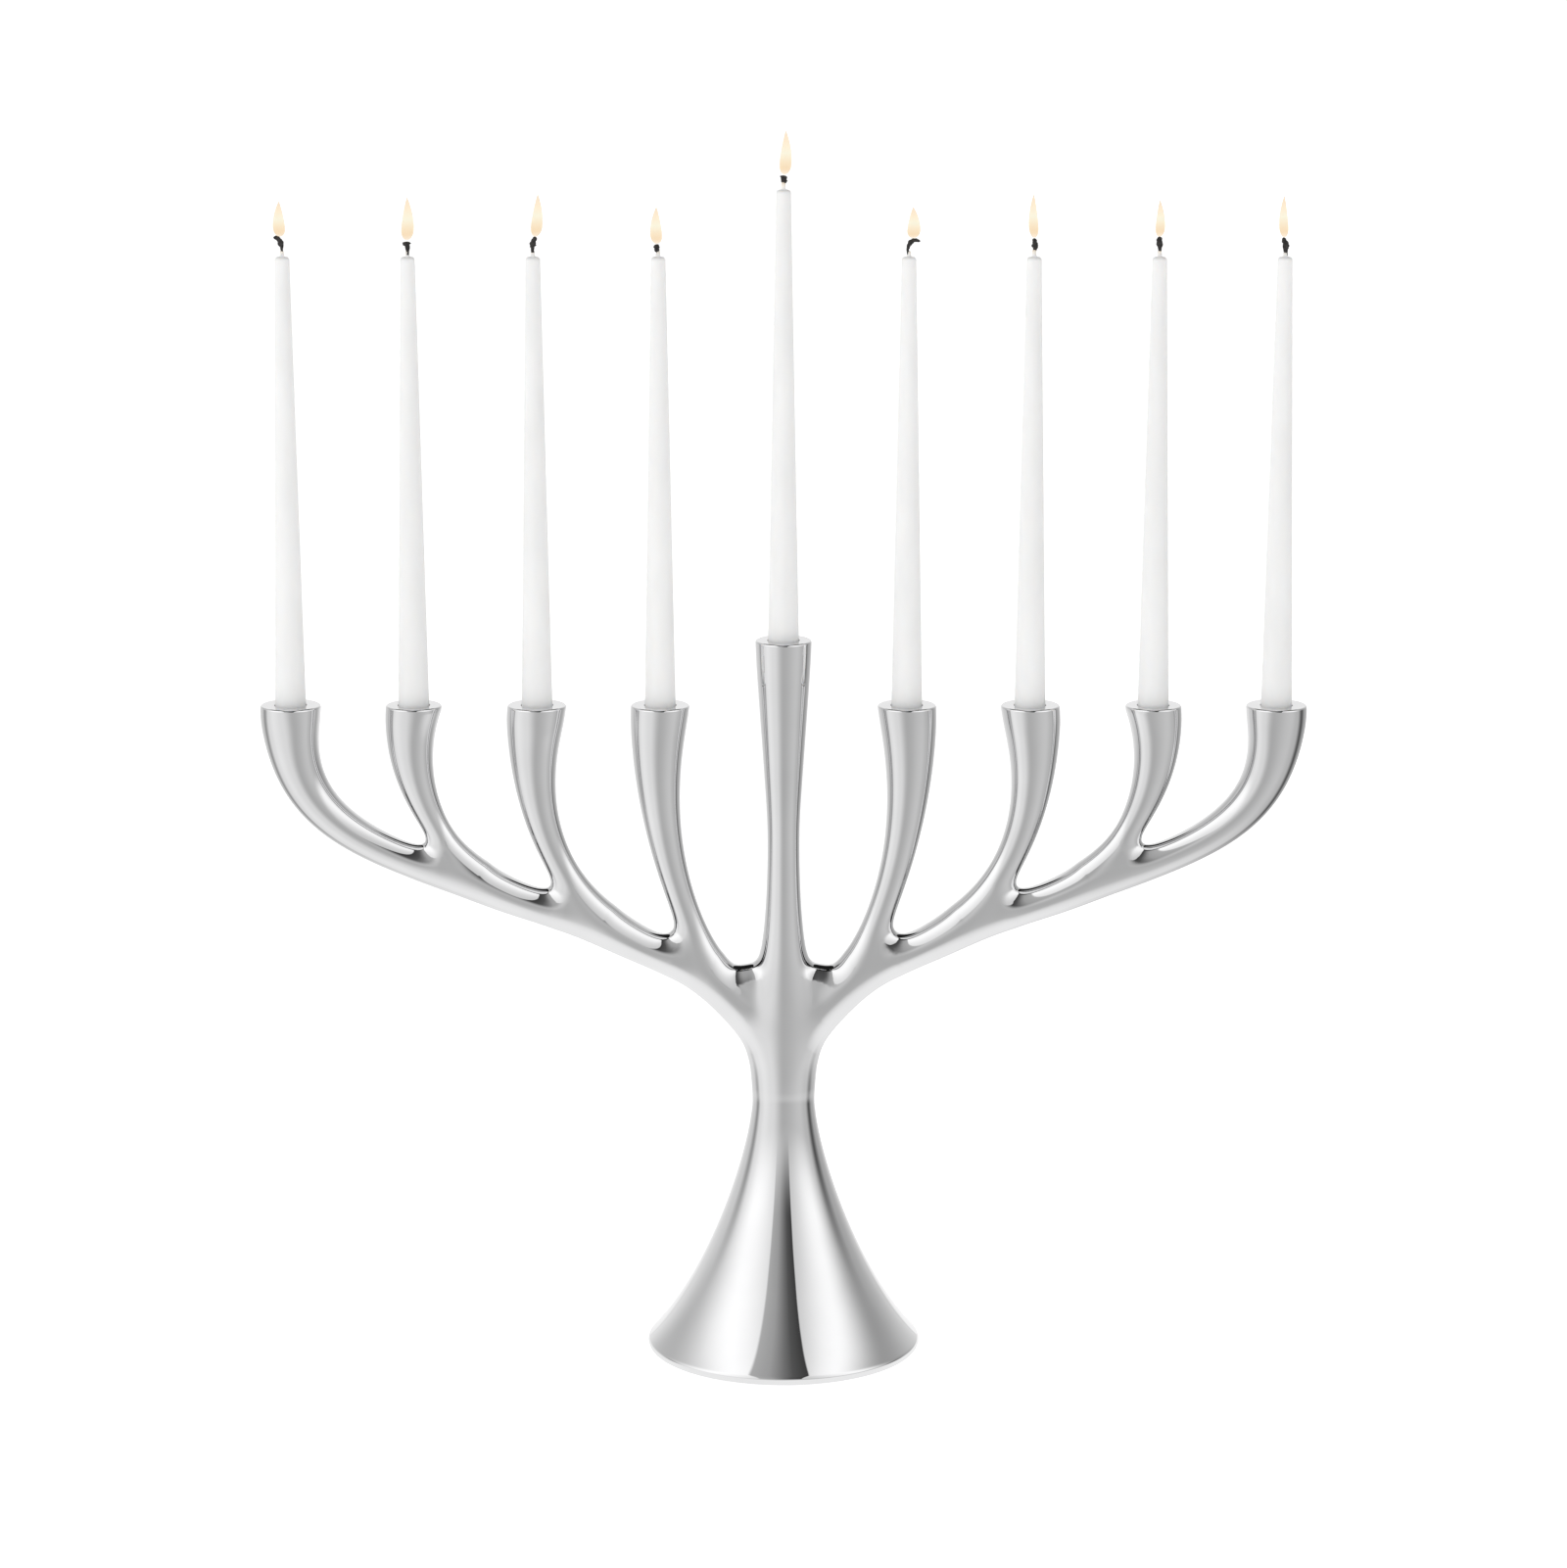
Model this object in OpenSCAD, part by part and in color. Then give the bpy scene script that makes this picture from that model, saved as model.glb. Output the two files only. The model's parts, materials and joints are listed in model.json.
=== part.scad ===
// Nine-light menorah: a mirror-polished steel candelabrum with nine taper candles.
// The candelabrum stands in the XZ plane. The origin is on the table, at the middle of the foot.
// Two boughs sweep out and up from the trunk to the outermost sockets, three branches rise from
// each bough, and a taller centre shaft carries the serving light.

/* [Candelabrum] */
// Distance between the middles of neighbouring candle sockets
socket_pitch = 48.5; // [47:0.25:50]
// Height of the eight side sockets above the table
side_h = 264; // [258:1:268]
// Height of the centre socket above the table
centre_h = 290; // [280:1:300]

/* [Foot] */
// Radius of the foot at its rim
foot_r = 54.5; // [50:0.5:58]
// Wall of the hollow foot
foot_wall = 3.5; // [2.5:0.25:4]
// Height of the foot casting, where it is welded to the trunk
foot_h = 96; // [92:1:100]
// Thickness of the steel plate that closes and weights the foot
plate_t = 5; // [3:0.5:7]
// Thickness of the felt under the plate
felt_t = 1.2; // [1:0.1:2]

/* [Candles] */
// Radius of the bore that holds a candle
bore_r = 6.3; // [6.2:0.05:6.5]
// Depth of the bore
bore_d = 14; // [12:0.5:15]
// Radius of a candle at its butt
candle_r = 6.05; // [5.9:0.05:6.1]
// Radius of a candle at its tip
tip_r = 2.7; // [2:0.1:3.5]
// Length of a candle that stands out of its socket
candle_out = 177; // [100:1:200]
// Radius of the braided wick
wick_r = 0.85; // [0.6:0.05:1]

/* [Fineness] */
// Sides of a branch's section
ring_n = 28; // [16:4:32]

/* [Hidden] */

steel = "#c9ccce";
plate_grey = "#8d9092";
felt_black = "#26282a";
wax_white = "#f4f2ea";
wick_black = "#2b2623";

// The curves below are drawn for this pitch and height, and stretch with the driving values
drawn_pitch = 48.5;
drawn_h = 263;
kx = socket_pitch / drawn_pitch;
kz = side_h / drawn_h;

waist_r = 12.3;
thin_shaft_r = 6.2;
rim_round = 0.9;
foot_clear = 0.4;
round_n = 96;

// A bough is two cubic curves that meet at its middle
bough_root = [1.1 * kx, 104];
bough_root_rise = 50;
bough_mid = [109.5 * kx, 187 * kz];
bough_slope = 20.6;
bough_mid_reach = [60, 50.5];
bough_top_reach = 52;
bough_lean = -2.3;
bough_root_r = 11.9;
bough_r = 6.65;
bough_flare = [12, 58, 1.2];

// A branch is one cubic curve:
// [socket number, root x, root z, root slope, root reach, top reach, lean at the top,
//  thin radius, [rim radius, flare length, flare power], where the casting starts on the curve]
outer_branch = [3, 111.8, 190.4, 23, 19.5, 35, -13.8, 5.3, [11.3, 52, 1.14], 0];
middle_branch = [2, 53.5, 166.1, 27.5, 45, 38, -8.6, 5.8, [11.6, 64, 1.55], 0];
inner_branch = [1, 2.8, 135.8, 23.5, 41.5, 41, -9.2, 5.8, [11.7, 74, 1.4], 0.08];
branch_steps = 26;
bough_steps = 17;

// A branch's root is let into the bough: it starts slimmer and reaches its full radius over a few rings
root_share = 0.55;
root_rings = 4;

// Each wick bends towards its own side: [turn about the candle, bend in degrees]
wick_bends = [[150, 62], [200, 48], [20, 55], [330, 40], [15, 30], [0, 70], [310, 52], [190, 45], [30, 58]];
wick_up = 2.2;
wick_bend_r = 3.2;

// Weight of each end and handle of a cubic curve at t
function cubic(p, t) = let (u = 1 - t)
  u * u * u * p[0] + 3 * u * u * t * p[1] + 3 * u * t * t * p[2] + t * t * t * p[3];
function steps(n, from = 0) = [for (i = [0:n]) from + (1 - from) * i / n];
function smooth(t) = let (u = max(0, min(1, t))) u * u * (3 - 2 * u);
function along(angle) = [cos(angle), sin(angle)];

// Length left from each point of a path to its end
function left_over(path) = [for (i = [0:len(path) - 1])
  i == len(path) - 1 ? 0 : length_from(path, i)];
function length_from(path, i) =
  i >= len(path) - 1 ? 0 : norm(path[i + 1] - path[i]) + length_from(path, i + 1);

// Radius near a socket: it grows from the thin radius to the rim over the flare's length
function flared(thin, flare, s) =
  thin + (flare[0] - thin) * pow(max(0, 1 - s / flare[1]), flare[2]);

function bough_path(n = bough_steps) = let (
    slope = along(bough_slope),
    x = 4 * socket_pitch,
    lower = [bough_root, bough_root + [0, bough_root_rise],
      bough_mid - bough_mid_reach[0] * slope, bough_mid],
    upper = [bough_mid, bough_mid + bough_mid_reach[1] * slope,
      [x, side_h] - bough_top_reach * along(90 - bough_lean), [x, side_h]]
  ) concat(
    [for (t = steps(n)) cubic(lower, t)],
    [for (i = [1:n + 3]) cubic(upper, i / (n + 3))]
  );

function bough_radii(path) = let (
    s = left_over(path),
    s_mid = s[bough_steps],
    lower = s[0] - s_mid
  ) [for (i = [0:len(path) - 1])
    let (w = max(0, (s[i] - s_mid) / lower))
    flared(bough_r, bough_flare, s[i]) + (bough_root_r - bough_r) * w * w];

function branch_path(b) = let (
    root = [b[1] * kx, b[2] * kz],
    top = [b[0] * socket_pitch, side_h],
    curve = [root, root + b[4] * along(b[3]), top - b[5] * along(90 - b[6]), top]
  ) [for (t = steps(branch_steps, b[9])) cubic(curve, t)];

function branch_radii(b, path) = let (s = left_over(path)) [for (i = [0:len(path) - 1])
  flared(b[7], b[8], s[i]) * (root_share + (1 - root_share) * smooth(i / root_rings))];

// Direction of a path at point i, turned upright as it reaches the flat top of a socket
function heading(path, i, s) = let (
    a = path[max(0, i - 1)],
    b = path[min(len(path) - 1, i + 1)],
    d = (b - a) / norm(b - a),
    w = smooth(1 - s / 14),
    e = d * (1 - w) + [0, 1] * w
  ) e / norm(e);

function ring(centre, d, r) = [for (k = [0:ring_n - 1]) let (a = 360 * k / ring_n)
  [centre[0] + r * cos(a) * d[1], r * sin(a), centre[1] - r * cos(a) * d[0]]];

// The rounded edge of a socket's flat top, as rings that close in on the top plane
function rim_rings(centre, r) = [for (a = [30:30:90])
  ring([centre[0], centre[1] - rim_round + rim_round * sin(a)], [0, 1],
    r - rim_round + rim_round * cos(a))];

module swept_arm(path, radii) {
  last = len(path) - 1;
  s = left_over(path);
  body_rings = [for (i = [0:last - 1]) ring(path[i], heading(path, i, s[i]), radii[i])];
  edge = ring(path[last] - [0, rim_round], [0, 1], radii[last]);
  rings = concat(body_rings, [edge], rim_rings(path[last], radii[last]));
  n = len(rings);
  sides = [for (i = [0:n - 2], k = [0:ring_n - 1])
    let (a = i * ring_n + k, b = i * ring_n + (k + 1) % ring_n, c = b + ring_n, d = a + ring_n)
    each [[a, b, c], [a, c, d]]];
  root_cap = [for (k = [ring_n - 1:-1:0]) k];
  top_cap = [for (k = [0:ring_n - 1]) (n - 1) * ring_n + k];
  polyhedron(points = [for (r = rings) each r], faces = concat([root_cap, top_cap], sides));
}

module bore(x, top) {
  translate([x, 0, top - bore_d]) cylinder(r = bore_r, h = bore_d + 1, $fn = round_n);
}

module bough() {
  path = bough_path();
  difference() {
    swept_arm(path, bough_radii(path));
    bore(4 * socket_pitch, side_h);
  }
}

module branch(b) {
  path = branch_path(b);
  difference() {
    swept_arm(path, branch_radii(b, path));
    bore(b[0] * socket_pitch, side_h);
  }
}

module to_left() {
  mirror([1, 0, 0]) children();
}

module left_bough() { color(steel) to_left() bough(); }
module left_outer_branch() { color(steel) to_left() branch(outer_branch); }
module left_middle_branch() { color(steel) to_left() branch(middle_branch); }
module left_inner_branch() { color(steel) to_left() branch(inner_branch); }
module right_bough() { color(steel) bough(); }
module right_outer_branch() { color(steel) branch(outer_branch); }
module right_middle_branch() { color(steel) branch(middle_branch); }
module right_inner_branch() { color(steel) branch(inner_branch); }

// Flank of the foot: one cubic curve from just above the rim up into the waist
rim_turn = 2.4;
flank = [
  [foot_r - 0.7, foot_clear + 4],
  [foot_r - 15.5, foot_clear + 18.2],
  [waist_r + 0.2, foot_h - 32],
  [waist_r, foot_h + 10]
];
function flank_points(inset) = [for (t = steps(40))
  let (p = cubic(flank, t)) if (p[1] <= foot_h) [p[0] - inset, p[1]]];

module foot() {
  outer = flank_points(0);
  neck = outer[len(outer) - 1][0];
  seat_z = felt_t + plate_t;
  seat_r = foot_r - foot_wall;
  inner = [for (p = flank_points(foot_wall * 1.25)) if (p[1] > seat_z + 3 && p[1] < foot_h - 8) p];
  inner_top = inner[len(inner) - 1];
  color(steel) rotate_extrude($fn = round_n) polygon(concat(
    [[seat_r, foot_clear]],
    [for (a = [-90:15:15]) [foot_r - rim_turn + rim_turn * cos(a),
      foot_clear + rim_turn + rim_turn * sin(a)]],
    outer,
    [[neck, foot_h], [0, foot_h], [0, inner_top[1]]],
    [for (i = [len(inner) - 1:-1:0]) inner[i]],
    [[inner[0][0], seat_z], [seat_r, seat_z]]
  ));
}

// Steel disc pressed into the foot from below
module base_plate() {
  color(plate_grey) translate([0, 0, felt_t])
    cylinder(r = foot_r - foot_wall, h = plate_t, $fn = round_n);
}

// Felt disc that the whole object stands on
module felt_pad() {
  color(felt_black) cylinder(r = foot_r - foot_wall - 0.4, h = felt_t, $fn = round_n);
}

// Waist and heart of the fork, up to where the centre shaft starts
shaft_z = 190;
function trunk_r(z) = thin_shaft_r + (waist_r - thin_shaft_r) * (1 - smooth((z - 108) / (shaft_z - 100)));
module trunk() {
  side = [for (z = [foot_h:2:shaft_z]) [trunk_r(z), z]];
  color(steel) rotate_extrude($fn = round_n)
    polygon(concat([[0, foot_h]], side, [[trunk_r(shaft_z), shaft_z], [0, shaft_z]]));
}

// Straight shaft of the serving light, with its own socket
centre_flare = [11.2, 80, 1.05];
module centre_shaft() {
  start_r = trunk_r(shaft_z);
  side = [for (z = [shaft_z + 2:2:centre_h - 2]) [flared(start_r, centre_flare, centre_h - z), z]];
  rim = [for (a = [0:15:90]) [centre_flare[0] - rim_round + rim_round * cos(a),
    centre_h - rim_round + rim_round * sin(a)]];
  color(steel) difference() {
    rotate_extrude($fn = round_n)
      polygon(concat([[0, shaft_z], [start_r, shaft_z]], side, rim, [[0, centre_h]]));
    bore(0, centre_h);
  }
}

// A taper candle: a straight butt in the bore, a long taper and a softened shoulder
function socket_top(n) = n == 0 ? centre_h : side_h;
shoulder = 1.6;
module candle(n) {
  seat = socket_top(n) - bore_d;
  tip = socket_top(n) + candle_out;
  turn = [for (a = [0:15:75]) [tip_r - shoulder + shoulder * cos(a), tip - shoulder + shoulder * sin(a)]];
  color(wax_white) translate([n * socket_pitch, 0, 0]) difference() {
    rotate_extrude($fn = round_n) polygon(concat(
      [[0, seat], [candle_r - 0.4, seat], [candle_r, seat + 0.4], [candle_r, socket_top(n)]],
      turn, [[0, tip]]));
    translate([0, 0, seat - 1]) cylinder(r = wick_r, h = bore_d + candle_out + 2, $fn = round_n / 2);
  }
}

// The wick runs the candle's whole length, stands out of the tip and bends over
module wick(n) {
  seat = socket_top(n) - bore_d;
  tip = socket_top(n) + candle_out;
  bend = wick_bends[n + 4];
  color(wick_black) translate([n * socket_pitch, 0, 0]) rotate([0, 0, bend[0]]) union() {
    translate([0, 0, seat]) cylinder(r = wick_r, h = tip + wick_up - seat, $fn = round_n / 2);
    translate([wick_bend_r, 0, tip + wick_up]) rotate([90, 0, 180])
      rotate_extrude(angle = bend[1], $fn = round_n / 2) translate([wick_bend_r, 0]) circle(r = wick_r);
  }
}

foot();
base_plate();
felt_pad();
trunk();
centre_shaft();
left_bough();
left_outer_branch();
left_middle_branch();
left_inner_branch();
right_bough();
right_outer_branch();
right_middle_branch();
right_inner_branch();
candle(-4);  // candle_left_4
candle(-3);  // candle_left_3
candle(-2);  // candle_left_2
candle(-1);  // candle_left_1
candle(0);  // candle_centre
candle(1);  // candle_right_1
candle(2);  // candle_right_2
candle(3);  // candle_right_3
candle(4);  // candle_right_4
wick(-4);  // wick_left_4
wick(-3);  // wick_left_3
wick(-2);  // wick_left_2
wick(-1);  // wick_left_1
wick(0);  // wick_centre
wick(1);  // wick_right_1
wick(2);  // wick_right_2
wick(3);  // wick_right_3
wick(4);  // wick_right_4
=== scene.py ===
# %% [markdown]
# # A nine-light menorah in mirror-polished steel
# The object is one hand-wide casting: a flared foot, a waist, two boughs that sweep out and up, three
# branches on each bough and a straight shaft in the middle. Nine white taper candles stand in its
# sockets. The engineering model gives every size and every moving part, so this lesson starts by
# loading it as a fixed frame, and all that follows is built around it in the same place.

# %% Load the frame
import json
import math

import bpy
import numpy as np
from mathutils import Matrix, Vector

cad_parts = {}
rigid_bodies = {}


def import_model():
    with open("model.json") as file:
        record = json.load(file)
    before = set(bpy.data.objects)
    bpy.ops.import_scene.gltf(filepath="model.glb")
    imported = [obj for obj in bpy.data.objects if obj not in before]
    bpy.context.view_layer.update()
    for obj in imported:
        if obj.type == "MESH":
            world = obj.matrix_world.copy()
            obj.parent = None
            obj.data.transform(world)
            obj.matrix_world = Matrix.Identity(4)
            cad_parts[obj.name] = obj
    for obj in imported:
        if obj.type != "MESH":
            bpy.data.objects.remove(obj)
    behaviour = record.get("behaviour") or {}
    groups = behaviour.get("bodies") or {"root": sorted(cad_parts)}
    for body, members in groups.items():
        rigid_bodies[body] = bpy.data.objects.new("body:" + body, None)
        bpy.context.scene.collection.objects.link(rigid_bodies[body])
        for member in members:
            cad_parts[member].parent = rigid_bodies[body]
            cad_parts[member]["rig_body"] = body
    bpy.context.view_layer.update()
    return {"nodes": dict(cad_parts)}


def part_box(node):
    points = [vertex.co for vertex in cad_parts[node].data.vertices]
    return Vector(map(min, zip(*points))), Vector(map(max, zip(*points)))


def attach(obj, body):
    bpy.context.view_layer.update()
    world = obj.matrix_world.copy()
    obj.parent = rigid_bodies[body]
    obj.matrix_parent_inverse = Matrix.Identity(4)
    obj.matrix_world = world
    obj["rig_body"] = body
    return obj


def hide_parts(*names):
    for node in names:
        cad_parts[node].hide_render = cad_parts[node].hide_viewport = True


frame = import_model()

# %% [markdown]
# ## Sizes, read from the frame
# A maker measures before cutting. The work below is done in millimetres, as on a drawing, and is
# turned into metres when a mesh is made. The heights of the sockets, the distance between them and the
# radius of the foot come from the frame, so the new surfaces sit where the engineering parts sit.

# %% Sizes
MM = 0.001


def height(node):
    """Lowest and highest level of a frame node, in millimetres."""
    low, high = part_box(node)
    return low.z / MM, high.z / MM


def middle_x(node):
    """Middle of a frame node from left to right, in millimetres."""
    low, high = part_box(node)
    return (low.x + high.x) / 2 / MM


side_top = height("right_bough")[1]
centre_top = height("centre_shaft")[1]
foot_low, foot_high = height("foot")
foot_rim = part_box("foot")[1].x / MM
seat_high = height("base_plate")[1]
shaft_low = height("centre_shaft")[0]
pitch = middle_x("candle_right_4") / 4
bore_depth = side_top - height("candle_right_4")[0]
BORE_R = 6.3
print("sockets at", round(side_top, 1), "and", round(centre_top, 1), "mm, every", round(pitch, 2), "mm")

# %% [markdown]
# ## The lines of the casting
# Each arm is a round bar that follows a curve in one upright plane. A cubic curve with two handles is
# the usual way to draw such a bend: the handles give the direction at each end. A bough is two of them,
# joined smoothly. Each bar thins away from its root and swells again towards its socket, so its radius
# is a formula of the length left to the socket. In the corner where two arms part the founder's fillet
# is fuller above than below: a web, a thin bar that dies away down the corner, fills it.

# %% Curves in the plane of the arms


def cubic(points, t):
    """Place, speed and bend of a cubic curve: the four points weighted by powers of t and 1 - t."""
    p = np.asarray(points, float)
    t = np.asarray(t, float)[..., None]
    u = 1 - t
    place = u**3 * p[0] + 3 * u * u * t * p[1] + 3 * u * t * t * p[2] + t**3 * p[3]
    speed = 3 * (u * u * (p[1] - p[0]) + 2 * u * t * (p[2] - p[1]) + t * t * (p[3] - p[2]))
    bend = 6 * (u * (p[2] - 2 * p[1] + p[0]) + t * (p[3] - 2 * p[2] + p[1]))
    return place, speed, bend


def heading(angle):
    """Unit direction at an angle, in radians, above level."""
    return np.array([math.cos(angle), math.sin(angle)])


def soft_ramp(x):
    """Zero for low x, x for high x, with a smooth turn between: the log of 1 + e to the x."""
    return np.logaddexp(0, x)


def soft_step(x):
    """The slope of soft_ramp: from 0 up to 1."""
    return 1 / (1 + np.exp(-np.clip(x, -60, 60)))


FAR = 300.0
RIM_TURN = 0.35
ROOT_SLOPE, ROOT_TURN = 0.30, 5.0


class Arm:
    """A round bar along one or two cubic curves, with a radius that follows the length left."""

    samples = np.linspace(0, 1, 41)

    def __init__(self, curves, thin, growth, turn, flare, rim, swell=(0, 1), let_in=-FAR):
        self.curves = [np.array(c, float) for c in curves]
        self.thin, self.growth, self.turn, self.flare, self.rim = thin, growth, turn, flare, rim
        self.swell, self.power = swell
        self.let_in = let_in
        fine = np.linspace(0, 1, 401)
        steps = [np.linalg.norm(np.diff(cubic(c, fine)[0], axis=0), axis=1) for c in self.curves]
        lengths = [s.sum() for s in steps]
        after = [sum(lengths[i + 1:]) for i in range(len(lengths))]
        self.fine = fine
        self.left = [a + n - np.r_[0, np.cumsum(s)] for a, n, s in zip(after, lengths, steps)]
        self.middle, self.whole = after[0], sum(lengths)

    def radius(self, left):
        """Thin bar, plus a steady growth near the socket that the rim stops. A bough swells a little at
        its root. A branch is let in: it starts as a thin line inside the bough and grows out of it."""
        x = (self.flare - left) / self.turn
        grown = self.thin + self.growth * self.turn * soft_ramp(x)
        slope = -self.growth * soft_step(x)
        over = (grown - self.rim) / RIM_TURN
        r = grown - RIM_TURN * soft_ramp(over)
        slope = slope * (1 - soft_step(over))
        short = (self.let_in - (self.whole - left)) / ROOT_TURN
        r = r - ROOT_SLOPE * ROOT_TURN * soft_ramp(short)
        slope = slope - ROOT_SLOPE * soft_step(short)
        share = np.clip((left - self.middle) / (self.whole - self.middle + 1e-9), 0, None)
        r = r + self.swell * share**self.power
        steep = self.swell * self.power / (self.whole - self.middle + 1e-9)
        return r, slope + steep * share ** (self.power - 1)

    def nearest(self, x, z):
        """Nearest place on the middle line: the way from it, the radius there, and the radius's drift.

        The best of a few samples is improved by Newton's steps on the right angle between way and line."""
        flat = np.stack([x, z], -1)
        best = None
        for curve, left in zip(self.curves, self.left):
            places = cubic(curve, self.samples)[0]
            gap = (x[:, None] - places[:, 0]) ** 2 + (z[:, None] - places[:, 1]) ** 2
            t = self.samples[gap.argmin(1)]
            for last in (False, False, False, False, True):
                place, speed, bend = cubic(curve, t)
                off = flat - place
                pace = (speed**2).sum(1)
                turn = np.maximum(pace - (off * bend).sum(1), 0.2 * pace)
                if not last:
                    t = np.clip(t + (off * speed).sum(1) / turn, 0, 1)
            r, slope = self.radius(np.interp(t, self.fine, left))
            drift = np.where((t > 0) & (t < 1), slope * np.sqrt(pace) / turn, 0)
            found = np.column_stack([off, r, drift[:, None] * speed, (off**2).sum(1)])
            best = found if best is None else np.where(found[:, 5:] < best[:, 5:], found, best)
        return best.T

    def distance(self, x, y, z):
        """Distance of points from the bar's surface, and its slope in x, y and z."""
        off_x, off_z, r, drift_x, drift_z, gap = self.nearest(x, z)
        away = np.sqrt(gap + y**2) + 1e-9
        return away - r, np.stack([off_x / away + drift_x, y / away, off_z / away + drift_z])


# %% Boughs, branches and webs
bough_way = heading(0.342)
bough_middle = np.array([106.0, 185.3])
bough_end = np.array([4 * pitch, side_top])
bough = Arm(
    [
        [(3.6, 108.6), (3.6, 146.5), bough_middle - 61.4 * bough_way, bough_middle],
        [bough_middle, bough_middle + 60.5 * bough_way, bough_end + (2.89, -49.3), bough_end],
    ],
    thin=5.85, growth=0.207, turn=23.9, flare=26.8, rim=12.0, swell=(0.21, 4.0),
)


def branch(number, root, angle, reach, top_handle, **sizes):
    """A branch: one cubic that leaves the bough's own line and climbs to the top of its socket."""
    top = np.array([number * pitch, side_top])
    start = np.array(root)
    return Arm([[start, start + reach * heading(angle), top + top_handle, top]], **sizes)


arms = {
    "bough": bough,
    "outer_branch": branch(3, (92.2, 180.3), 0.308, 41.4, (7.57, -34.9), let_in=18.4,
                           thin=3.53, growth=0.125, turn=3.2, flare=61.1, rim=11.4),
    "middle_branch": branch(2, (46.4, 160.9), 0.474, 46.6, (6.85, -47.8), let_in=15.7,
                            thin=4.52, growth=0.181, turn=21.1, flare=41.7, rim=11.6),
    "inner_branch": branch(1, (7.8, 127.9), 0.865, 39.9, (6.35, -60.8), let_in=13.5,
                           thin=4.73, growth=0.116, turn=19.1, flare=62.7, rim=11.7),
}
arm_names = list(arms)


def web(low, high, r):
    """A short straight bar, laid in the corner between two arms, that thins out towards its low end."""
    low, high = np.array(low), np.array(high)
    return Arm([low + (high - low) * np.arange(4)[:, None] / 3], r, 0, 1, 0, FAR,
               let_in=np.linalg.norm(high - low))


webs = [web((119.9, 197.9), (134.6, 204.1), 2.9), web((70.6, 179.2), (85.5, 185.0), 2.9),
        web((28.0, 159.8), (41.5, 166.3), 2.9), web((9.1, 139.4), (14.0, 152.6), 5.0)]
print({name: round(arm.whole) for name, arm in arms.items()}, "mm long")

# %% [markdown]
# ## The middle column and the flank of the foot
# The shaft in the middle is straight, so its radius is a formula of the height alone: it swells in the
# heart of the fork and again towards the rim. The foot's flank is one cubic from the rim, steep at
# first and then hollow, up into the waist.

# %% Column and flank
COLUMN_THIN, COLUMN_GROWTH, COLUMN_TURN, COLUMN_FLARE, COLUMN_RIM = 6.2, 0.071, 4.3, 75, 11.3
HEART_R, HEART_Z, HEART_TURN = 11.3, 164.3, 11.9
WAIST_R = 12.3


def column(x, y, z):
    """Distance from the column: distance from the middle line less a radius that follows the height."""
    away = np.hypot(x, y) + 1e-9
    rise = (COLUMN_FLARE - (centre_top - z)) / COLUMN_TURN
    grown = COLUMN_THIN + COLUMN_GROWTH * COLUMN_TURN * soft_ramp(rise)
    slope = COLUMN_GROWTH * soft_step(rise)
    over = (grown - COLUMN_RIM) / RIM_TURN
    grown = grown - RIM_TURN * soft_ramp(over)
    slope = slope * (1 - soft_step(over))
    heart = soft_step((HEART_Z - z) / HEART_TURN)
    r = grown + (HEART_R - COLUMN_THIN) * heart
    slope = slope - (HEART_R - COLUMN_THIN) * heart * (1 - heart) / HEART_TURN
    return away - r, np.stack([x / away, y / away, -slope])


RIM_R = 2.4
rim_middle = np.array([foot_rim - RIM_R, foot_low + RIM_R])
rim_start = math.radians(46)
flank = [
    rim_middle + RIM_R * heading(rim_start),
    (foot_rim - 23.9, foot_low + 29.1),
    (WAIST_R - 0.1, foot_high - 13),
    (WAIST_R, foot_high + 10),
]
flank_place, flank_speed, _ = cubic(flank, np.linspace(0, 1, 801))


def flank_radius(z):
    """Radius of the foot at a height, and its slope."""
    r = np.interp(z, flank_place[:, 1], flank_place[:, 0])
    slope = np.interp(z, flank_place[:, 1], flank_speed[:, 0] / flank_speed[:, 1])
    return r, np.where(z > flank_place[-1, 1], 0, slope)


print("foot radius half way up:", round(float(flank_radius(foot_high / 2)[0]), 1), "mm")

# %% [markdown]
# ## One skin for all the bars
# A founder fills every inside corner with a fillet, so the bars flow into each other like branches of a
# tree. Bars built one by one and pushed together would show a hard line there, which a mirror finish
# makes worse. A surface with forks has no single grid of two parameters, so the skin is worked out from
# a formula of the distance: near one bar it is that bar's distance, and where two or more meet, the sum
# of falling exponentials rounds the corner. The webs are in the sum, but own no part of the skin. The
# slope of the same formula gives an exact direction for every point of the skin, and that is what makes
# the reflections run smoothly.

# %% The blended distance
FILLET = 3.6
FADE_LOW, FADE_HIGH = 97, 123
REACH = 45
COLUMN = 2 * len(arms)


def smooth_step(low, high, v):
    """Rises from 0 at low to 1 at high with a level start and end, and its slope."""
    u = np.clip((v - low) / (high - low), 0, 1)
    return u * u * (3 - 2 * u), 6 * u * (1 - u) / (high - low)


def every_distance(p):
    """Distance and slope for the right arms, the left arms, the column, and the webs on both sides."""
    x, y, z = p.T
    near, slopes = [], []
    for side, bar in ((side, bar) for bars in (arms.values(), webs) for side in (1, -1) for bar in bars):
        close = side * x > -REACH
        d = np.full(len(p), FAR)
        g = np.zeros((3, len(p)))
        d[close], g[:, close] = bar.distance(side * x[close], y[close], z[close])
        near.append(d)
        slopes.append(g * np.array([side, 1, 1])[:, None])
    d, g = column(x, y, z)
    near.insert(COLUMN, d)
    slopes.insert(COLUMN, g)
    return np.array(near), np.array(slopes)


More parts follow.
